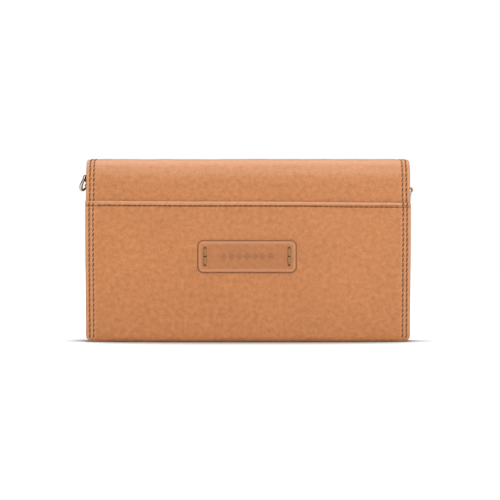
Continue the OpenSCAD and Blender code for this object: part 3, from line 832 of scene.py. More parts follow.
def laid_along(tree):
    """The turn that lays a shape along its point's "along", with its top towards "out"."""
    carried = {"data_type": "FLOAT_VECTOR"}
    along = node(tree, "GeometryNodeInputNamedAttribute", {"Name": "along"}, **carried).outputs["Attribute"]
    out = node(tree, "GeometryNodeInputNamedAttribute", {"Name": "out"}, **carried).outputs["Attribute"]
    axes = {"Primary Axis": out, "Secondary Axis": along}
    return node(
        tree, "FunctionNodeAxesToRotation", axes, primary_axis="Z", secondary_axis="X"
    ).outputs["Rotation"]


def laid_out(tree, given, result, shape, turn):
    """Ends a tree: puts the shape on every point, makes it real, and gives it its material."""
    inputs = {"Points": given["Geometry"], "Instance": shape, "Rotation": turn}
    laid = node(tree, "GeometryNodeInstanceOnPoints", inputs)
    real = node(tree, "GeometryNodeRealizeInstances", {"Geometry": laid.outputs["Instances"]})
    finish = {"Geometry": real.outputs["Geometry"], "Material": given["Material"]}
    finished = node(tree, "GeometryNodeSetMaterial", finish)
    tree.links.new(finished.outputs["Geometry"], result["Geometry"])
    return tree


def swept(tree, line, radius, section):
    """A solid of that section along a line, scaled by the radius on its way."""
    sized = node(tree, "GeometryNodeSetCurveRadius", {"Curve": line, "Radius": radius}).outputs["Curve"]
    inputs = {"Curve": sized, "Profile Curve": section.outputs["Curve"], "Fill Caps": True}
    return node(tree, "GeometryNodeCurveToMesh", inputs).outputs["Mesh"]


def stitch_tree():
    """Lays one arched stitch on each point, along its "along" and out along its "out"."""
    tree, given, result = new_tree("sewn_stitches", ("Length", "Thread", "Rise", "Slant", "Seed"))
    line = node(tree, "GeometryNodeCurvePrimitiveLine", {"Start": (-0.5, 0, 0), "End": (0.5, 0, 0)})
    fine_line = node(tree, "GeometryNodeResampleCurve", {"Curve": line.outputs["Curve"], "Count": 7})
    at = node(tree, "GeometryNodeInputPosition").outputs["Position"]
    x = node(tree, "ShaderNodeSeparateXYZ", {0: at}).outputs["X"]
    dip = reckon(tree, "MULTIPLY_ADD", reckon(tree, "MULTIPLY", x, x), -4.0, 1.0)
    lift = reckon(tree, "MULTIPLY", dip, given["Rise"])
    long = reckon(tree, "MULTIPLY", x, given["Length"])
    arched_at = node(tree, "ShaderNodeCombineXYZ", {"X": long, "Z": lift}).outputs[0]
    bow = {"Geometry": fine_line.outputs["Curve"], "Position": arched_at}
    arched = node(tree, "GeometryNodeSetPosition", bow).outputs["Geometry"]
    limits = {"Value": dip, "From Min": 0.0, "From Max": 0.6, "To Min": 0.45, "To Max": 1.0}
    taper = node(tree, "ShaderNodeMapRange", limits).outputs["Result"]
    half_thread = reckon(tree, "MULTIPLY", given["Thread"], 0.5)
    section = node(tree, "GeometryNodeCurvePrimitiveCircle", {"Resolution": 7, "Radius": half_thread})
    stitch = node(tree, "GeometryNodeSetShadeSmooth", {"Geometry": swept(tree, arched, taper, section)})
    limits = {2: -0.06, 3: 0.06, "Seed": given["Seed"]}
    askew = node(tree, "FunctionNodeRandomValue", limits, data_type="FLOAT").outputs[1]
    slant = reckon(tree, "ADD", askew, given["Slant"])
    about = node(tree, "ShaderNodeCombineXYZ", {"Z": slant}).outputs[0]
    turns = {"Rotation": laid_along(tree), "Rotate By": about}
    turned = node(tree, "FunctionNodeRotateRotation", turns, rotation_space="LOCAL").outputs["Rotation"]
    return laid_out(tree, given, result, stitch.outputs["Geometry"], turned)


def grown(name, tree, sizes, points, **vectors):
    """Runs a Geometry Nodes tree on points that hold those vectors, and keeps the plain mesh."""
    seed_mesh = bpy.data.meshes.new(name + "_points")
    seed_mesh.from_pydata(np.asarray(points).tolist(), [], [])
    for key, value in vectors.items():
        field = seed_mesh.attributes.new(key, "FLOAT_VECTOR", "POINT")
        field.data.foreach_set("vector", np.asarray(value, dtype=np.float32).ravel())
    seedling = put_out(name + "_points", seed_mesh)
    grow = seedling.modifiers.new("grow", "NODES")
    grow.node_group = tree
    sockets = {item.name: item.identifier for item in tree.interface.items_tree if item.in_out == "INPUT"}
    for size, value in sizes.items():
        grow[sockets[size]] = value
    ready = seedling.evaluated_get(bpy.context.evaluated_depsgraph_get())
    mesh = bpy.data.meshes.new_from_object(ready)
    seedling.modifiers.remove(grow)
    bpy.data.objects.remove(seedling)
    mesh.name = name
    return put_out(name, mesh)


sewing = stitch_tree()


def sew(name, rows, thread=brown_thread, length=stitch_l, width=thread_t, rise=0.25 * mm, slant=-0.22,
        seed=1):
    """Stitches on rows of (points, along, out)."""
    points, along, out = (np.concatenate(part) for part in zip(*rows))
    sizes = {
        "Material": thread,
        "Length": length,
        "Thread": width,
        "Rise": rise,
        "Slant": slant,
        "Seed": float(seed),
    }
    stitches = grown(name, sewing, sizes, points, along=along, out=out)
    return stitches


def on_hide(route, x, s, dx, ds, height, side=1):
    """Where stitches at x and s lie on a hide, for steps dx and ds along their row."""
    y, z, h = on_route(route, s, height)
    points = np.stack([x, y, z], axis=-1)
    along = np.stack([dx, ds * np.cos(h), ds * np.sin(h)], axis=-1)
    out = side * np.stack([np.zeros_like(h), -np.sin(h), np.cos(h)], axis=-1)
    return points, along, out


def side_rows_on(route, start, stop, width, height, side=1, sunk=0.0):
    """The two rows at each side of a hide whose stitches fall by distance along it."""
    s = np.arange(math.ceil(start / stitch_pitch) + 0.5, stop / stitch_pitch) * stitch_pitch
    rows = []
    for sign in (-1, 1):
        for row in seam_rows:
            x = sign * (width(s) - row)
            dx = sign * np.gradient(width(s), s) * np.ones_like(s)
            rows.append(on_hide(route, x, s, dx, np.ones_like(s), height(x, s) - sunk, side))
    return rows


def slip_height(x, s):
    """How high the slip pocket and its hem stand where the stitches lie."""
    on_hem = s - hem_slide(x, s) > hem_s
    return np.where(on_hem, hem_relief(x, s, 0), lower_relief(x, s, 0)) + thread_lift


slip_side_rows = side_rows_on(lower_route, slip_low_s - rows_past_fold, mouth_s, lower_half, slip_height)
slip_seams = sew("slip_pocket_seams", slip_side_rows)
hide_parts("back_seam_threads")
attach(slip_seams, "back_section")

hem_x = (np.arange(-30, 30) + 0.5) * stitch_pitch
hem_stitch_s = hem_s + hem_slide(hem_x, hem_s + 0 * hem_x) + 0.45 * mm
hem_fall = np.gradient(hem_stitch_s, hem_x)
hem_row = on_hide(lower_route, hem_x, hem_stitch_s, np.ones_like(hem_x), hem_fall, 0.24 * mm)
hem_seam = sew("hem_seam", [hem_row], width=0.42 * mm, length=2.2 * mm, slant=0.05, seed=2)
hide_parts("hem_thread")
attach(hem_seam, "back_section")


def cover_seam_rows(start, stop, height, side=1, sunk=0.0):
    """Both rows of stitches round the cover between two distances along it."""
    count = math.floor(half_run / stitch_pitch)
    run = (np.arange(0, count) + 0.5) * stitch_pitch
    turn = np.clip((run - flap_corner_x) / row_turn_r, 0, math.pi / 2)
    rows = []
    for sign in (-1, 1):
        for row in seam_rows:
            r = flap_corner - row
            past = np.maximum(run - flap_corner_x - row_turn_r * math.pi / 2, 0)
            x = np.minimum(run, flap_corner_x) + r * np.sin(turn)
            s = flap_end_s - flap_corner + r * np.cos(turn) - past
            x = np.where(past > 0, cover_half - row - cover_draw(s), x)
            dx = np.gradient(x, run)
            ds = np.gradient(s, run)
            kept = (s > start) & (s <= stop)
            x, s, dx, ds = (v[kept] for v in (sign * x, s, sign * dx, ds))
            rows.append(on_hide(cover_route, x, s, dx, ds, height(x, s) - sunk, side))
    return rows


def cover_height(x, s):
    return cover_relief(x, s, 0) + thread_lift


cover_seams = sew("cover_back_seams", cover_seam_rows(mouth_z - base_fold, crown_s, cover_height), seed=3)
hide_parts("flap_top_threads")
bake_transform(cover_seams)

flap_seams = sew("cover_flap_seams", cover_seam_rows(crown_s, flap_end_s, cover_height), seed=4)
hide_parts("flap_front_threads")
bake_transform(flap_seams)


def front_height(x, s):
    return lower_relief(x, s, 0) + thread_lift


front_side_rows = side_rows_on(lower_route, 1 * mm, front_low_s + rows_past_fold, front_width, front_height)
front_seams = sew("front_seams", front_side_rows, seed=5)
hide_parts("front_seam_threads")
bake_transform(front_seams)


def lining_height(x, s):
    return -lining_relief(x, s, cover_gap(x, s, cut_back)) - 0.08 * mm


lining_out = lining_sunk + lining_t
back_inner_rows = cover_seam_rows(front_top_z - base_fold, crown_s, lining_height, -1, lining_out)
back_inner_seams = sew("back_lining_seams", back_inner_rows, seed=6)
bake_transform(back_inner_seams)

flap_inner_rows = cover_seam_rows(crown_s, flap_end_s, lining_height, -1, lining_out)
flap_inner_seams = sew("flap_lining_seams", flap_inner_rows, seed=7)
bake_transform(flap_inner_seams)

# ---- Patch ---------------------------------------------------------------------------------------
# A label of firmer hide with rounded corners and a burnished edge, tooled with a row of
# lozenges, and held by two thick waxed stitches through three holes at each end.
patch_low, patch_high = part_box("name_patch")
patch_half = patch_high.x
patch_t = patch_high.y - patch_low.y
patch_corner = 3.6 * mm
patch_left = 0.6 * mm
patch_hide = hide_material("patch_hide", (0.45, 0.172, 0.058), (0.37, 0.132, 0.038), 0.5, 0.6)
patch_l = patch_high.z - patch_low.z
patch_route = leather_route((patch_low.y, patch_low.z), 90, [(patch_l, 0)])
lozenges = 7
lozenge_pitch = 4.8 * mm
hole_x = patch_half - 4.6 * mm
hole_pitch = 5.2 * mm


def near_holes(x, s, reach):
    """1 at the stitch holes, falling to 0 round them."""
    field = 0.0
    for k in (-1, 0, 1):
        away = np.hypot(np.abs(x) - hole_x, s - patch_l / 2 - k * hole_pitch)
        field = field + bell(away, reach)
    return field


def tooling(x, s):
    """1 on the tooled lines: a row of lozenge outlines, each with a dot in it."""
    column = np.clip(np.round(x / lozenge_pitch), -(lozenges // 2), lozenges // 2)
    across = np.abs(x - column * lozenge_pitch)
    up = np.abs(s - patch_l / 2)
    outline = np.abs(across / (1.9 * mm) + up / (2.2 * mm) - 0.85)
    return np.maximum(bell(outline, 0.15), bell(np.hypot(across, up), 0.55 * mm))


def patch_gap(x, s):
    return cornered_gap(x, s, 0, patch_l, patch_half, patch_corner, patch_corner)


def patch_relief(x, s, gap):
    bevel = -0.22 * np.exp(-gap / (0.9 * mm))
    from_pull = np.hypot((np.abs(x) - hole_x) / 1.6, (s - patch_l / 2) / 3)
    pull = -0.12 * bell(from_pull, 2.2 * mm)
    dents = -0.2 * tooling(x, s) - 0.6 * near_holes(x, s, 0.6 * mm)
    return (bevel + pull + dents + 0.04 * ripple(x, s, 16 * mm, 31)) * mm


def patch_marks(x, s, gap):
    # The holes are darkened as painted shade, the dark outline at the edge is edge paint with painted shadow,
    # and the bevel band is painted paler.
    painted_hole_shade = np.clip(1.8 * near_holes(x, s, 0.62 * mm), 0, 1)
    outline = 0.85 * bell(gap, 0.5 * mm)
    bevel = 0.22 * bell(gap - 1.5 * mm, 0.8 * mm)
    return {"print": 0.62 * tooling(x, s), "seam": np.maximum(painted_hole_shade, outline), "stretch": bevel}


patch_rows = rows_between(0, patch_l, 0.28 * mm, (patch_corner, patch_corner))
patch_halves = cornered_half(patch_rows, 0, patch_l, patch_half, patch_corner, patch_corner)
patch = leather_sheet(
    "name_patch_hide", patch_hide, patch_route, patch_rows, patch_halves, patch_t,
    patch_relief, patch_marks, side_rows=7 * mm, fine=0.3 * mm, coarse=0.3 * mm, gap=patch_gap, edge=0.48,
    place=lambda points: points - (patch_left, 0, 0),
)
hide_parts("name_patch")
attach(patch, "back_section")

waxed_thread = thread_material("waxed_thread", (0.38, 0.205, 0.085), (0.25, 0.125, 0.048))
thick_rows = []
thick_s = patch_l / 2 + np.array([-0.5, 0.5]) * hole_pitch
for side in (-1, 1):
    thick_x = np.full(2, side * hole_x - patch_left)
    thick_rows.append(on_hide(patch_route, thick_x, thick_s, np.zeros(2), np.ones(2), 0.05 * mm))
patch_stitches = sew(
    "patch_thick_stitches", thick_rows, waxed_thread,
    length=4.1 * mm, width=1.9 * mm, rise=0.3 * mm, slant=0.0, seed=8,
)
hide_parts("patch_stitches")
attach(patch_stitches, "back_section")

# ---- Card rows and receipt pocket ----------------------------------------------------------------
# Four stepped rows of lining hide hold cards on the back, sewn down the middle into two columns.
# One plain row on the front holds receipts. A heated wheel has creased a line under each top edge.
row_corner = 2 * mm
crease_in = 1.6 * mm


def row_relief(x, s, gap):
    crease = -0.16 * bell(gap - crease_in, 0.28 * mm)
    return (crease + 0.05 * ripple(x, s, 26 * mm, 41)) * mm


def row_marks(x, s, gap):
    return {"seam": 0.35 * bell(gap - crease_in, 0.3 * mm)}


def pocket_row(name, cad_node, shown_side, body):
    """A flat row of lining hide in a CAD row's place, shown towards +Y or -Y."""
    low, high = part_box(cad_node)
    tall = high.z - low.z
    up = shown_side < 0
    start = (low.y, low.z) if up else (high.y, high.z)
    route = leather_route(start, 90 if up else -90, [(tall, 0)])
    corners = (0, row_corner) if up else (row_corner, 0)
    rows = rows_between(0, tall, 2.5 * mm, corners)
    near_top = tall - rows if up else rows
    fine = np.arange(0.7 * mm, 3 * mm, 0.25 * mm)
    rows = merged([rows[near_top > 3 * mm], rows[near_top < 0.7 * mm], tall - fine if up else fine])
    half = cornered_half(rows, 0, tall, high.x, *corners)

    def gap(x, s):
        return cornered_gap(x, s, 0, tall, high.x, *corners)

    row = leather_sheet(
        name, lining_hide, route, rows, half, high.y - low.y, row_relief, row_marks, side_rows=3 * mm,
        coarse=3 * mm, gap=gap,
    )
    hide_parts(cad_node)
    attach(row, body)


for number in (1, 2, 3, 4):
    pocket_row(f"card_row_{number}_skin", f"card_row_{number}", 1, "back_section")
pocket_row("receipt_pocket_skin", "receipt_pocket", -1, "front_section")

card_low, card_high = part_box("card_seam_thread")
card_seam_z = np.arange(card_low.z, card_high.z, stitch_pitch)
card_places = np.zeros((len(card_seam_z), 3))
card_places[:, 1] = card_low.y
card_places[:, 2] = card_seam_z
card_stitches = (card_places, card_places * 0 + (0, 0, 1), card_places * 0 + (0, 1, 0))
card_seam = sew("card_seam", [card_stitches], seed=9)
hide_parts("card_seam_thread")
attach(card_seam, "back_section")

# ---- Gussets -------------------------------------------------------------------------------------
# Strips of lining hide at both ends of each note compartment, folded inwards like a bellows.
# Their edges are glued to what stands before and behind.
gusset_t = 0.8 * mm
gusset_fold = 0.4 * mm
gusset_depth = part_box("gusset_right_back")[1].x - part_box("gusset_right_back")[0].x - 3.1 * mm
inner_low, inner_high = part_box("coin_pocket")
receipt_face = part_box("receipt_pocket")[0].y
card_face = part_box("card_row_4")[1].y
front_gusset_share = 0.48


def gusset_relief(x, s, gap):
    return 0.06 * mm * ripple(x, s, 18 * mm, 51)


def gusset(name, cad_node, sign, back_y, front_y):
    """One inward fold, made flat on a route in (Y, X) and stood up along Z."""
    span = front_y - back_y - 2 * gusset_t
    steep = math.degrees(math.atan2(gusset_depth, span / 2 - gusset_fold))
    leg = (gusset_depth - gusset_fold) / math.sin(math.radians(steep))
    start_y = back_y + gusset_t if sign > 0 else front_y - gusset_t
    heading = -steep if sign > 0 else 180 - steep
    arc = gusset_fold * math.radians(2 * steep)
    route = leather_route((start_y, sign * inner_high.x), heading, [(leg, 0), (arc, 2 * steep), (leg, 0)])
    length = route[0][-1]
    rows = np.unique(np.concatenate([rows_between(0, length, 0.8 * mm), np.linspace(leg, leg + arc, 9)]))
    middle_z = (inner_low.z + inner_high.z) / 2

    def stand_up(points):
        return np.stack([points[:, 2], points[:, 1], middle_z - points[:, 0]], axis=1)

    strip = leather_sheet(
        name, lining_hide, route, rows, np.full_like(rows, (inner_high.z - inner_low.z) / 2), gusset_t,
        gusset_relief, coarse=2.5 * mm, place=stand_up,
    )
    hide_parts(cad_node)
    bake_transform(strip)


back_gusset_bend = ("back_section", "coin_section", (0, card_face, 0), (0, inner_low.y, 0))
front_gusset_start = (inner_high.y - front_gusset_share * receipt_face) / (1 - front_gusset_share)
front_gusset_bend = ("back_section", "front_section", (0, front_gusset_start, 0), (0, receipt_face, 0))
for side, sign in (("left", -1), ("right", 1)):
    for place, back_y, front_y, bend in (
        ("back", card_face, inner_low.y, back_gusset_bend),
        ("front", inner_high.y, receipt_face, front_gusset_bend),
    ):
        gusset(f"{side}_{place}_gusset", f"gusset_{side}_{place}", sign, back_y, front_y)

# ---- Coin pocket ---------------------------------------------------------------------------------
# A strip of lining hide folded up from below makes both walls, and a narrow strip closes each
# end. A row of stitches below the top edge holds the zip.
coin_wall = 0.9 * mm
coin_fold = 1.3 * mm
coin_tall = inner_high.z - inner_low.z - coin_fold
coin_route = folded_route(
    (inner_high.y, inner_high.z), -90,
    coin_tall, coin_fold, inner_high.y - inner_low.y - 2 * coin_fold, coin_tall,
)
coin_l = coin_route[0][-1]
zip_seam_in = 2.2 * mm


def coin_relief(x, s, gap):
    from_top = np.minimum(s, coin_l - s)
    groove = -0.14 * bell(from_top - zip_seam_in, 0.4 * mm)
    fold = np.clip(from_top / (20 * mm), 0, 1) * np.clip((coin_tall - from_top) / (15 * mm), 0, 1)
    return (groove + 0.09 * fold * ripple(x, s, 34 * mm, 61)) * mm


top_rows = np.arange(0.7 * mm, 4 * mm, 0.3 * mm)
fold_rows = np.linspace(coin_tall, coin_l - coin_tall, 24)
coin_rows = merged([rows_between(0, coin_l, 1.6 * mm), top_rows, coin_l - top_rows, fold_rows])
coin_wrap = leather_sheet(
    "coin_pocket_wrap", lining_hide, coin_route, coin_rows, np.full_like(coin_rows, inner_high.x), coin_wall,
    coin_relief, side_rows=2 * mm, coarse=2.5 * mm,
)
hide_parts("coin_pocket")
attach(coin_wrap, "coin_section")

coin_middle_y = (inner_low.y + inner_high.y) / 2
coin_end_half = (inner_high.y - inner_low.y) / 2 - coin_wall + 0.02 * mm
coin_end_rows = rows_between(0, inner_high.z - inner_low.z - coin_wall, 2.5 * mm)
for side, sign in (("left", -1), ("right", 1)):
    end_route = leather_route((-inner_high.x, inner_low.z + coin_wall), 90, [(coin_end_rows[-1], 0)])

    def end_on(points, sign=sign):
        return np.stack([-sign * points[:, 1], coin_middle_y + sign * points[:, 0], points[:, 2]], axis=1)

    coin_end = leather_sheet(
        f"coin_pocket_{side}_end", lining_hide, end_route, coin_end_rows,
        np.full_like(coin_end_rows, coin_end_half), coin_wall, coarse=0.8 * mm, place=end_on, edge=0.1,
    )
    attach(coin_end, "coin_section")

coin_stitch_x = (np.arange(-30, 30) + 0.5) * stitch_pitch
zip_seam_rows = []
for s in (zip_seam_in, coin_l - zip_seam_in):
    at = np.full_like(coin_stitch_x, s)
    height = coin_relief(coin_stitch_x, at, 0) + 0.08 * mm
    across, up = np.ones_like(at), np.zeros_like(at)
    zip_seam_rows.append(on_hide(coin_route, coin_stitch_x, at, across, up, height))
zip_seams = sew("coin_pocket_seams", zip_seam_rows, width=0.5 * mm, seed=10)
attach(zip_seams, "coin_section")

# ---- Zip -----------------------------------------------------------------------------------------
# A woven tape at each side of the opening carries a row of nickel teeth, crimped on every
# 2 mm over its corded edge. A bar at each end stops the slider.


def tape_material():
    """Narrow herringbone tape that follows the tape's own map."""
    tape, tree, surface = new_material("zip_tape_weave")
    place = node(tree, "ShaderNodeUVMap", uv_map="hide").outputs["UV"]
    warp = {"Vector": place, "Scale": 900.0, "Distortion": 1.0, "Detail": 2.0}
    ribs = node(tree, "ShaderNodeTexWave", warp, bands_direction="DIAGONAL").outputs["Fac"]
    fuzz = noise(tree, place, 3000.0, 2.0)
    tone = ramp(tree, ribs, (0.2, (0.16, 0.075, 0.032)), (0.8, (0.27, 0.135, 0.062)))
    hairs = ramp(tree, fuzz, (0.3, (0.1, 0.05, 0.02)), (0.7, (0.3, 0.16, 0.08)))
    tree.links.new(tint(tree, tone, 0.25, hairs), surface["Base Color"])
    tree.links.new(spread(tree, fuzz, 0.8, 0.95), surface["Roughness"])
    tree.links.new(bumps(tree, (ribs, 0.8, 0.06 * mm), (fuzz, 0.4, 0.02 * mm)), surface["Normal"])
    return tape


zip_tape_weave = tape_material()


def nickel_material():
    """Nickel plate, faintly warm, with rub marks and a soft polish."""
    nickel, tree, surface = new_material("nickel_plate")
    place = node(tree, "ShaderNodeTexCoord").outputs["Object"]
    rub = noise(tree, place, 900.0, 4.0)
    tarnish = noise(tree, place, 160.0, 3.0)
    tone = ramp(tree, tarnish, (0.3, (0.44, 0.39, 0.33)), (0.7, (0.60, 0.56, 0.50)))
    tree.links.new(tone, surface["Base Color"])
    surface["Metallic"].default_value = 1.0
    tree.links.new(spread(tree, rub, 0.16, 0.28), surface["Roughness"])
    tree.links.new(bumps(tree, (rub, 0.05, 0.02 * mm)), surface["Normal"])
    return nickel


nickel_plate = nickel_material()
tape_low, tape_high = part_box("zip_tape_back")
tape_w = tape_high.y - tape_low.y
tape_cord = 0.18 * mm
for side, cord_s in (("back", tape_w - 0.2 * mm), ("front", 0.2 * mm)):
    tape_route = leather_route((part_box(f"zip_tape_{side}")[0].y, tape_high.z), 0, [(tape_w, 0)])

    def tape_relief(x, s, gap, cord_s=cord_s):
        return tape_cord * bell(s - cord_s, 0.22 * mm)

    tape_rows = np.linspace(0, tape_w, 9)
    tape = leather_sheet(
        f"zip_tape_{side}_weave", zip_tape_weave, tape_route, tape_rows, np.full_like(tape_rows, tape_high.x),
        tape_high.z - tape_low.z, tape_relief, coarse=2 * mm,
    )
    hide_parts(f"zip_tape_{side}")
    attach(tape, "coin_section")

teeth_low, teeth_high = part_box("zip_teeth_back")
tooth_w = teeth_high.y - teeth_low.y
tooth_h = teeth_high.z - teeth_low.z
tooth_pitch = 2 * mm
tooth_count = round((teeth_high.x - teeth_low.x) / tooth_pitch + 0.5)


def teeth_tree():
    """One crimped tooth on each point: broad on the tape, necked, and with a rounded head."""
    tree, given, result = new_tree("zip_teeth", ("Length", "Width", "Height"))
    reach = node(tree, "ShaderNodeCombineXYZ", {"X": given["Length"]}).outputs[0]
    line = node(tree, "GeometryNodeCurvePrimitiveLine", {"Start": (0, 0, 0), "End": reach})
    steps = node(tree, "GeometryNodeResampleCurve", {"Curve": line.outputs["Curve"], "Count": 9})
    part = node(tree, "GeometryNodeSplineParameter").outputs["Factor"]
    shape = node(tree, "ShaderNodeFloatCurve", {"Value": part})
    outline = shape.mapping.curves[0].points
    outline[0].location = (0.0, 0.85)
    outline[1].location = (1.0, 0.35)
    for at in ((0.15, 1.0), (0.45, 0.95), (0.62, 0.62), (0.8, 0.85)):
        outline.new(*at)
    shape.mapping.update()
    block = {"Width": given["Width"], "Height": given["Height"]}
    section = node(tree, "GeometryNodeCurvePrimitiveQuadrilateral", block).outputs["Curve"]
    fillet = {"Curve": section, "Radius": 0.22 * mm, "Count": 2}
    rounded = node(tree, "GeometryNodeFilletCurve", fillet, mode="POLY")
    tooth = swept(tree, steps.outputs["Curve"], shape.outputs["Value"], rounded)
    return laid_out(tree, given, result, tooth, laid_along(tree))


crimping = teeth_tree()
for side, sign in (("back", -1), ("front", 1)):
    tooth_at = np.zeros((tooth_count, 3))
    tooth_at[:, 0] = teeth_low.x + tooth_pitch / 4 + np.arange(tooth_count) * tooth_pitch
    tooth_at[:, 1] = coin_middle_y + sign * (coin_middle_y - teeth_low.y)
    tooth_at[:, 2] = (teeth_low.z + teeth_high.z) / 2
    sizes = {"Length": tooth_w, "Width": tooth_pitch * 0.55, "Height": tooth_h * 0.97}
    sizes["Material"] = nickel_plate
    inward = tooth_at * 0 + (0, -sign, 0)
    upward = tooth_at * 0 + (0, 0, 1)
    teeth = grown(f"zip_teeth_{side}_row", crimping, sizes, tooth_at, along=inward, out=upward)
    teeth.data.set_sharp_from_angle(angle=math.radians(40))
    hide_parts(f"zip_teeth_{side}")
    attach(teeth, "coin_section")


def dressed(name, node_name, bevel):
    """A pressed or cast metal piece: a merged copy of its CAD node with its edges broken."""
    mesh = frame["nodes"][node_name].data.copy()
    mesh.name = name
    form = bmesh.new()
    form.from_mesh(mesh)
    bmesh.ops.remove_doubles(form, verts=form.verts, dist=0.002 * mm)
    bmesh.ops.dissolve_limit(form, angle_limit=math.radians(1), verts=form.verts, edges=form.edges)
    form.to_mesh(mesh)
    form.free()
    rough = put_out(name + "_form", mesh)
    broken = rough.modifiers.new("broken_edges", "BEVEL")
    broken.width = bevel
    broken.segments = 2
    broken.angle_limit = math.radians(40)
    broken.use_clamp_overlap = True
    done = bpy.data.meshes.new_from_object(rough.evaluated_get(bpy.context.evaluated_depsgraph_get()))
    bpy.data.objects.remove(rough)
    done.materials.clear()
    done.materials.append(nickel_plate)
    done.polygons.foreach_set("use_smooth", [True] * len(done.polygons))
    done.set_sharp_from_angle(angle=math.radians(35))
    piece = put_out(name, done)
    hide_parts(node_name)
    return piece


for piece_name, node_name, bevel, body in (
    ("zip_stop_bars", "zip_end_stops", 0.2 * mm, "coin_section"),
    ("zip_slider_body", "zip_slider", 0.09 * mm, "slider"),
    ("zip_pull_tab", "zip_pull", 0.22 * mm, "pull"),
):
    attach(dressed(piece_name, node_name, bevel), body)


def plated(cad_node):
    """Gives a CAD node that stays as it is the nickel plate."""
    finish = frame["nodes"][cad_node].data.materials
    finish.clear()
    finish.append(nickel_plate)


plated("zip_pull_pin")

# ---- Ring tabs -----------------------------------------------------------------------------------
# At each end of the coin pocket a strip of hide goes up, round the bar of a D ring and down
# again. Its two legs are sewn to the pocket's side, and its loop leans out past the gussets.
tab_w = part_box("ring_tab_right")[1].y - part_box("ring_tab_right")[0].y
tab_t = 0.9 * mm
tab_low_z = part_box("ring_tab_right")[0].z
tab_lean = 6.5 * mm
tab_seam_in = 1.1 * mm
bar_hole_r = 0.85 * mm
loop_r = bar_hole_r + tab_t
tab_hide = hide_material("tab_hide", (0.52, 0.24, 0.105), (0.43, 0.18, 0.07), 0.5, 0.7)
ring_bars = {j["child"]: Vector(j["pos_m"]) for j in frame["joints"] if j["name"].endswith("ring_swing")}


def tab_outline(bar):
    """The strip's outer face in (outwards, Z): up the inner leg, round the bar, down the outer leg."""
    middle = inner_high.x + tab_t
    reach = abs(bar.x) - middle
    foot_z = bar.z - tab_lean
    rise = np.linspace(0, 1, 60)
    line_z = tab_low_z + (bar.z - tab_low_z) * rise
    bend = np.clip((line_z - foot_z + 1.5 * mm) / (tab_lean + 1.5 * mm), 0, 1)
    line_x = middle + reach * bend**1.4
    run = np.hypot(np.gradient(line_x), np.gradient(line_z))
    across = np.stack([-np.gradient(line_z), np.gradient(line_x)], axis=1) / run[:, None]
    away = np.hypot(line_x - abs(bar.x), line_z - bar.z)
    swell = tab_t + (loop_r - tab_t) * np.clip(1 - (away - loop_r) / (3.2 * mm), 0, 1) ** 2
    line = np.stack([line_x, line_z], axis=1)
    legs = away > loop_r * 0.9
    up = (line + across * swell[:, None])[legs]
    down = (line - across * swell[:, None])[legs][::-1]
    centre = np.array([abs(bar.x), bar.z])
    begin = math.atan2(*(up[-1] - centre)[::-1])
    finish = math.atan2(*(down[0] - centre)[::-1])
    turn = np.linspace(begin, finish - math.tau if finish > begin else finish, 26)[1:-1]
    loop = centre + loop_r * np.stack([np.cos(turn), np.sin(turn)], axis=1)
    return np.concatenate([up, loop, down])


def traced_route(points):
    """A route through points, for a strip that follows no simple bend."""
    steps = np.diff(points, axis=0)
    s = np.concatenate([[0], np.cumsum(np.hypot(steps[:, 0], steps[:, 1]))])
    turn = np.unwrap(np.arctan2(np.gradient(points[:, 1], s), np.gradient(points[:, 0], s)))
    return s, points[:, 0], points[:, 1], turn


def tab_seam(gap):
    return bell(gap - tab_seam_in, 0.25 * mm)


for side, sign, yaw in (("left", -1, -15), ("right", 1, 0)):
    bar = ring_bars[f"{side}_ring"]
    tab_route = traced_route(tab_outline(bar))
    tab_rows = rows_between(0, tab_route[0][-1], 0.4 * mm)

    def stand_out(points, sign=sign, yaw=yaw, bar=bar):
        """Turns the strip outwards to its own side, and the left one's loop about the vertical."""
        placed = np.stack([sign * points[:, 1], bar.y - sign * points[:, 0], points[:, 2]], axis=1)
        twist = np.clip((points[:, 2] - inner_high.z - 1 * mm) / (5 * mm), 0, 1)
        turn = math.radians(yaw) * twist * twist * (3 - 2 * twist)
        dx = placed[:, 0] - bar.x
        dy = placed[:, 1] - bar.y
        placed[:, 0] = bar.x + dx * np.cos(turn) - dy * np.sin(turn)
        placed[:, 1] = bar.y + dx * np.sin(turn) + dy * np.cos(turn)
        return placed

    tab = leather_sheet(
        f"ring_tab_{side}_strip", tab_hide, tab_route, tab_rows, np.full_like(tab_rows, tab_w / 2), tab_t,
        lambda x, s, gap: -0.12 * mm * tab_seam(gap), lambda x, s, gap: {"seam": 0.5 * tab_seam(gap)},
        side_rows=2 * mm, fine=0.2 * mm, coarse=0.4 * mm, place=stand_out, edge=0.48, burnish=0.15,
    )
    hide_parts(f"ring_tab_{side}")
    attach(tab, "coin_section")

tab_stitch_rows = []
for sign in (-1, 1):
    for z in np.arange(tab_low_z + 1.6 * mm, inner_high.z - 2 * mm, stitch_pitch):
        for y in (-1, 1):
            aside = coin_middle_y + y * (tab_w / 2 - tab_seam_in)
            at = (sign * (inner_high.x + 2 * tab_t - 0.05 * mm), aside, z)
            tab_stitch_rows.append(([at], [(0, 0, 1)], [(sign, 0, 0)]))
tab_stitches = sew("ring_tab_seams", tab_stitch_rows, width=0.5 * mm, seed=11)
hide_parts("ring_tab_stitches")
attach(tab_stitches, "coin_section")

# ---- D rings -------------------------------------------------------------------------------------
# Each ring is nickel-plated wire, 1.5 mm thick at its straight bar and heavier round its bow,
# bent to a D. The bar turns inside the tab's loop. A shoulder strap hooks onto the bow.
wire_r = 0.75 * mm
ring_half = 5.05 * mm
ring_reach = 8.4 * mm
ring_bend = 1.1 * mm
bow_deeper = 0.15
bow_wider = 0.55
ring_lean = {"left": 25, "right": 8}
ring_yaw = {"left": -15, "right": 0}


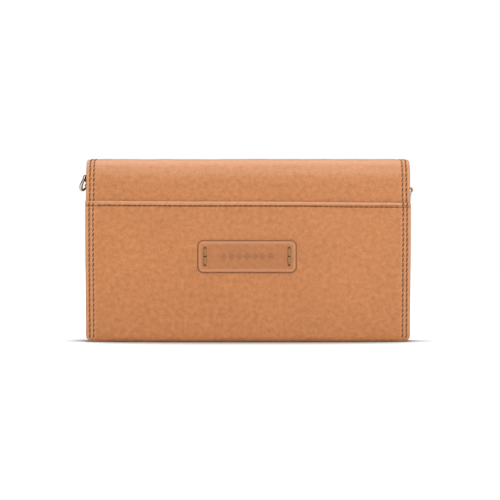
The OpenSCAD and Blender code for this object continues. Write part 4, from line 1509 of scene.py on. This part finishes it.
def d_line():
    """The wire's centre line in (Y, Z), hanging from the middle of its bar."""
    arm = ring_reach - ring_half
    corner = np.radians(np.linspace(0, 90, 8))
    low = np.radians(np.linspace(0, 180, 40))
    bar_end = [ring_half - ring_bend + ring_bend * np.sin(corner), ring_bend * (np.cos(corner) - 1)]
    bow = [ring_half * np.cos(low), -arm - ring_half * np.sin(low)]
    far = [-bar_end[0][::-1], bar_end[1][::-1]]
    return np.concatenate([np.array(part).T for part in (bar_end, bow, far)])


def skinned(name, points, quads):
    """A smooth nickel form from its points and faces, with doubles merged and faces turned outwards."""
    mesh = bpy.data.meshes.new(name)
    mesh.from_pydata(points, [], quads)
    form = bmesh.new()
    form.from_mesh(mesh)
    bmesh.ops.remove_doubles(form, verts=form.verts, dist=0.001 * mm)
    bmesh.ops.recalc_face_normals(form, faces=form.faces)
    form.to_mesh(mesh)
    form.free()
    mesh.polygons.foreach_set("use_smooth", [True] * len(mesh.polygons))
    mesh.materials.append(nickel_plate)
    return mesh


def wire(name, line, radius, sides=20):
    """A closed wire along a closed line in the X = 0 plane, thicker at its bow."""
    low = np.clip(-line[:, 1] / ring_reach * 1.5 - 0.25, 0, 1)
    thick = radius * (1 + bow_deeper * low)
    wide = radius * (1 + bow_wider * low)
    ahead = np.roll(line, -1, axis=0) - np.roll(line, 1, axis=0)
    ahead = ahead / np.linalg.norm(ahead, axis=1)[:, None]
    turn = np.linspace(0, math.tau, sides, endpoint=False)
    out = np.stack([ahead[:, 1], -ahead[:, 0]], axis=1)
    points = []
    for centre, away, in_plane, across in zip(line, out, thick, wide):
        for angle in turn:
            y, z = centre + away * in_plane * math.cos(angle)
            points.append((across * math.sin(angle), y, z))
    count = len(line)
    quads = []
    for i in range(count):
        for j in range(sides):
            k = (i + 1) % count
            m = (j + 1) % sides
            quads.append((i * sides + j, i * sides + m, k * sides + m, k * sides + j))
    return skinned(name, points, quads)


for side in ("left", "right"):
    ring_mesh = wire(f"d_ring_{side}_wire", d_line(), wire_r)
    lean = Matrix.Rotation(math.radians(ring_lean[side]), 4, "Y")
    yaw = Matrix.Rotation(math.radians(ring_yaw[side]), 4, "Z")
    ring_mesh.transform(Matrix.Translation(ring_bars[f"{side}_ring"]) @ yaw @ lean)
    ring = put_out(f"d_ring_{side}_wire", ring_mesh)
    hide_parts(f"d_ring_{side}")
    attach(ring, f"{side}_ring")

# ---- Snap ----------------------------------------------------------------------------------------
# Pressed nickel discs with rolled rims: a socket riveted through the front hide, and a stud
# riveted through the flap's lining, each with a washer behind. The boss clicks into the recess.
socket_low, socket_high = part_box("snap_socket")
stud_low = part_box("snap_stud")[0]
snap_z = (socket_low.z + socket_high.z) / 2
snap_r = socket_high.x
recess_r = 2.8 * mm
boss_r = 2.2 * mm
shank_r = 1.5 * mm


def turned(name, profile, base_y):
    """A piece turned about the snap's axis, from (radius, height) points; its height runs along +Y."""
    sides = 64
    turn = np.linspace(0, math.tau, sides, endpoint=False)
    points = []
    for radius, height in profile:
        for angle in turn:
            points.append((radius * math.cos(angle), base_y + height, snap_z + radius * math.sin(angle)))
    quads = []
    for i in range(len(profile) - 1):
        for j in range(sides):
            m = (j + 1) % sides
            quads.append((i * sides + j, (i + 1) * sides + j, (i + 1) * sides + m, i * sides + m))
    mesh = skinned(name, points, quads)
    mesh.set_sharp_from_angle(angle=math.radians(32))
    piece = put_out(name, mesh)
    return piece


def rolled_rim(radius, height, roll):
    """Points over a rolled rim, from the outside in."""
    turn = np.radians(np.linspace(0, 180, 10))
    return [(radius - roll + roll * math.cos(a), height - roll + roll * math.sin(a)) for a in turn]


disc_t = socket_high.y - front_face
rim_roll = 0.4 * mm
dish = 0.25 * mm
socket_profile = [(0, -hide_t), (shank_r, -hide_t), (shank_r, 0), (snap_r, 0)]
socket_profile += rolled_rim(snap_r, disc_t, rim_roll)
socket_profile += [(snap_r - 1.3 * mm, disc_t - dish), (recess_r + 1.2 * mm, disc_t - dish)]
socket_profile += rolled_rim(recess_r + 1.1 * mm, disc_t, 0.35 * mm)
socket_profile += [(recess_r, disc_t - 0.4 * mm), (recess_r, disc_t - 1 * mm), (0, disc_t - 1 * mm)]
socket = turned("snap_socket_disc", socket_profile, front_face)
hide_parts("snap_socket")
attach(socket, "front_section")

stud_face = stud_low.y + 1 * mm
stud_t = flap_face - lining_out - stud_face
boss_l = stud_face - stud_low.y
stud_profile = [(0, stud_t + lining_t), (shank_r, stud_t + lining_t)]
stud_profile += [(shank_r, stud_t), (snap_r - 0.1 * mm, stud_t)]
stud_profile += [(snap_r, stud_t - 0.12 * mm), (snap_r - 0.1 * mm, 0.08 * mm), (snap_r - 0.5 * mm, 0)]
stud_profile += [(boss_r, 0), (boss_r * 0.88, -boss_l * 0.45), (boss_r * 0.95, -boss_l * 0.7)]
stud_profile += [(boss_r * 0.8, -boss_l * 0.93), (boss_r * 0.5, -boss_l), (0, -boss_l)]
stud = turned("snap_stud_disc", stud_profile, stud_face)
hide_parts("snap_stud")
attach(stud, "flap_front_section")
plated("snap_socket_washer")
plated("snap_stud_washer")

size = {"cad": [list(corner) for corner in cad_box], "visual": [list(corner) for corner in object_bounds()]}
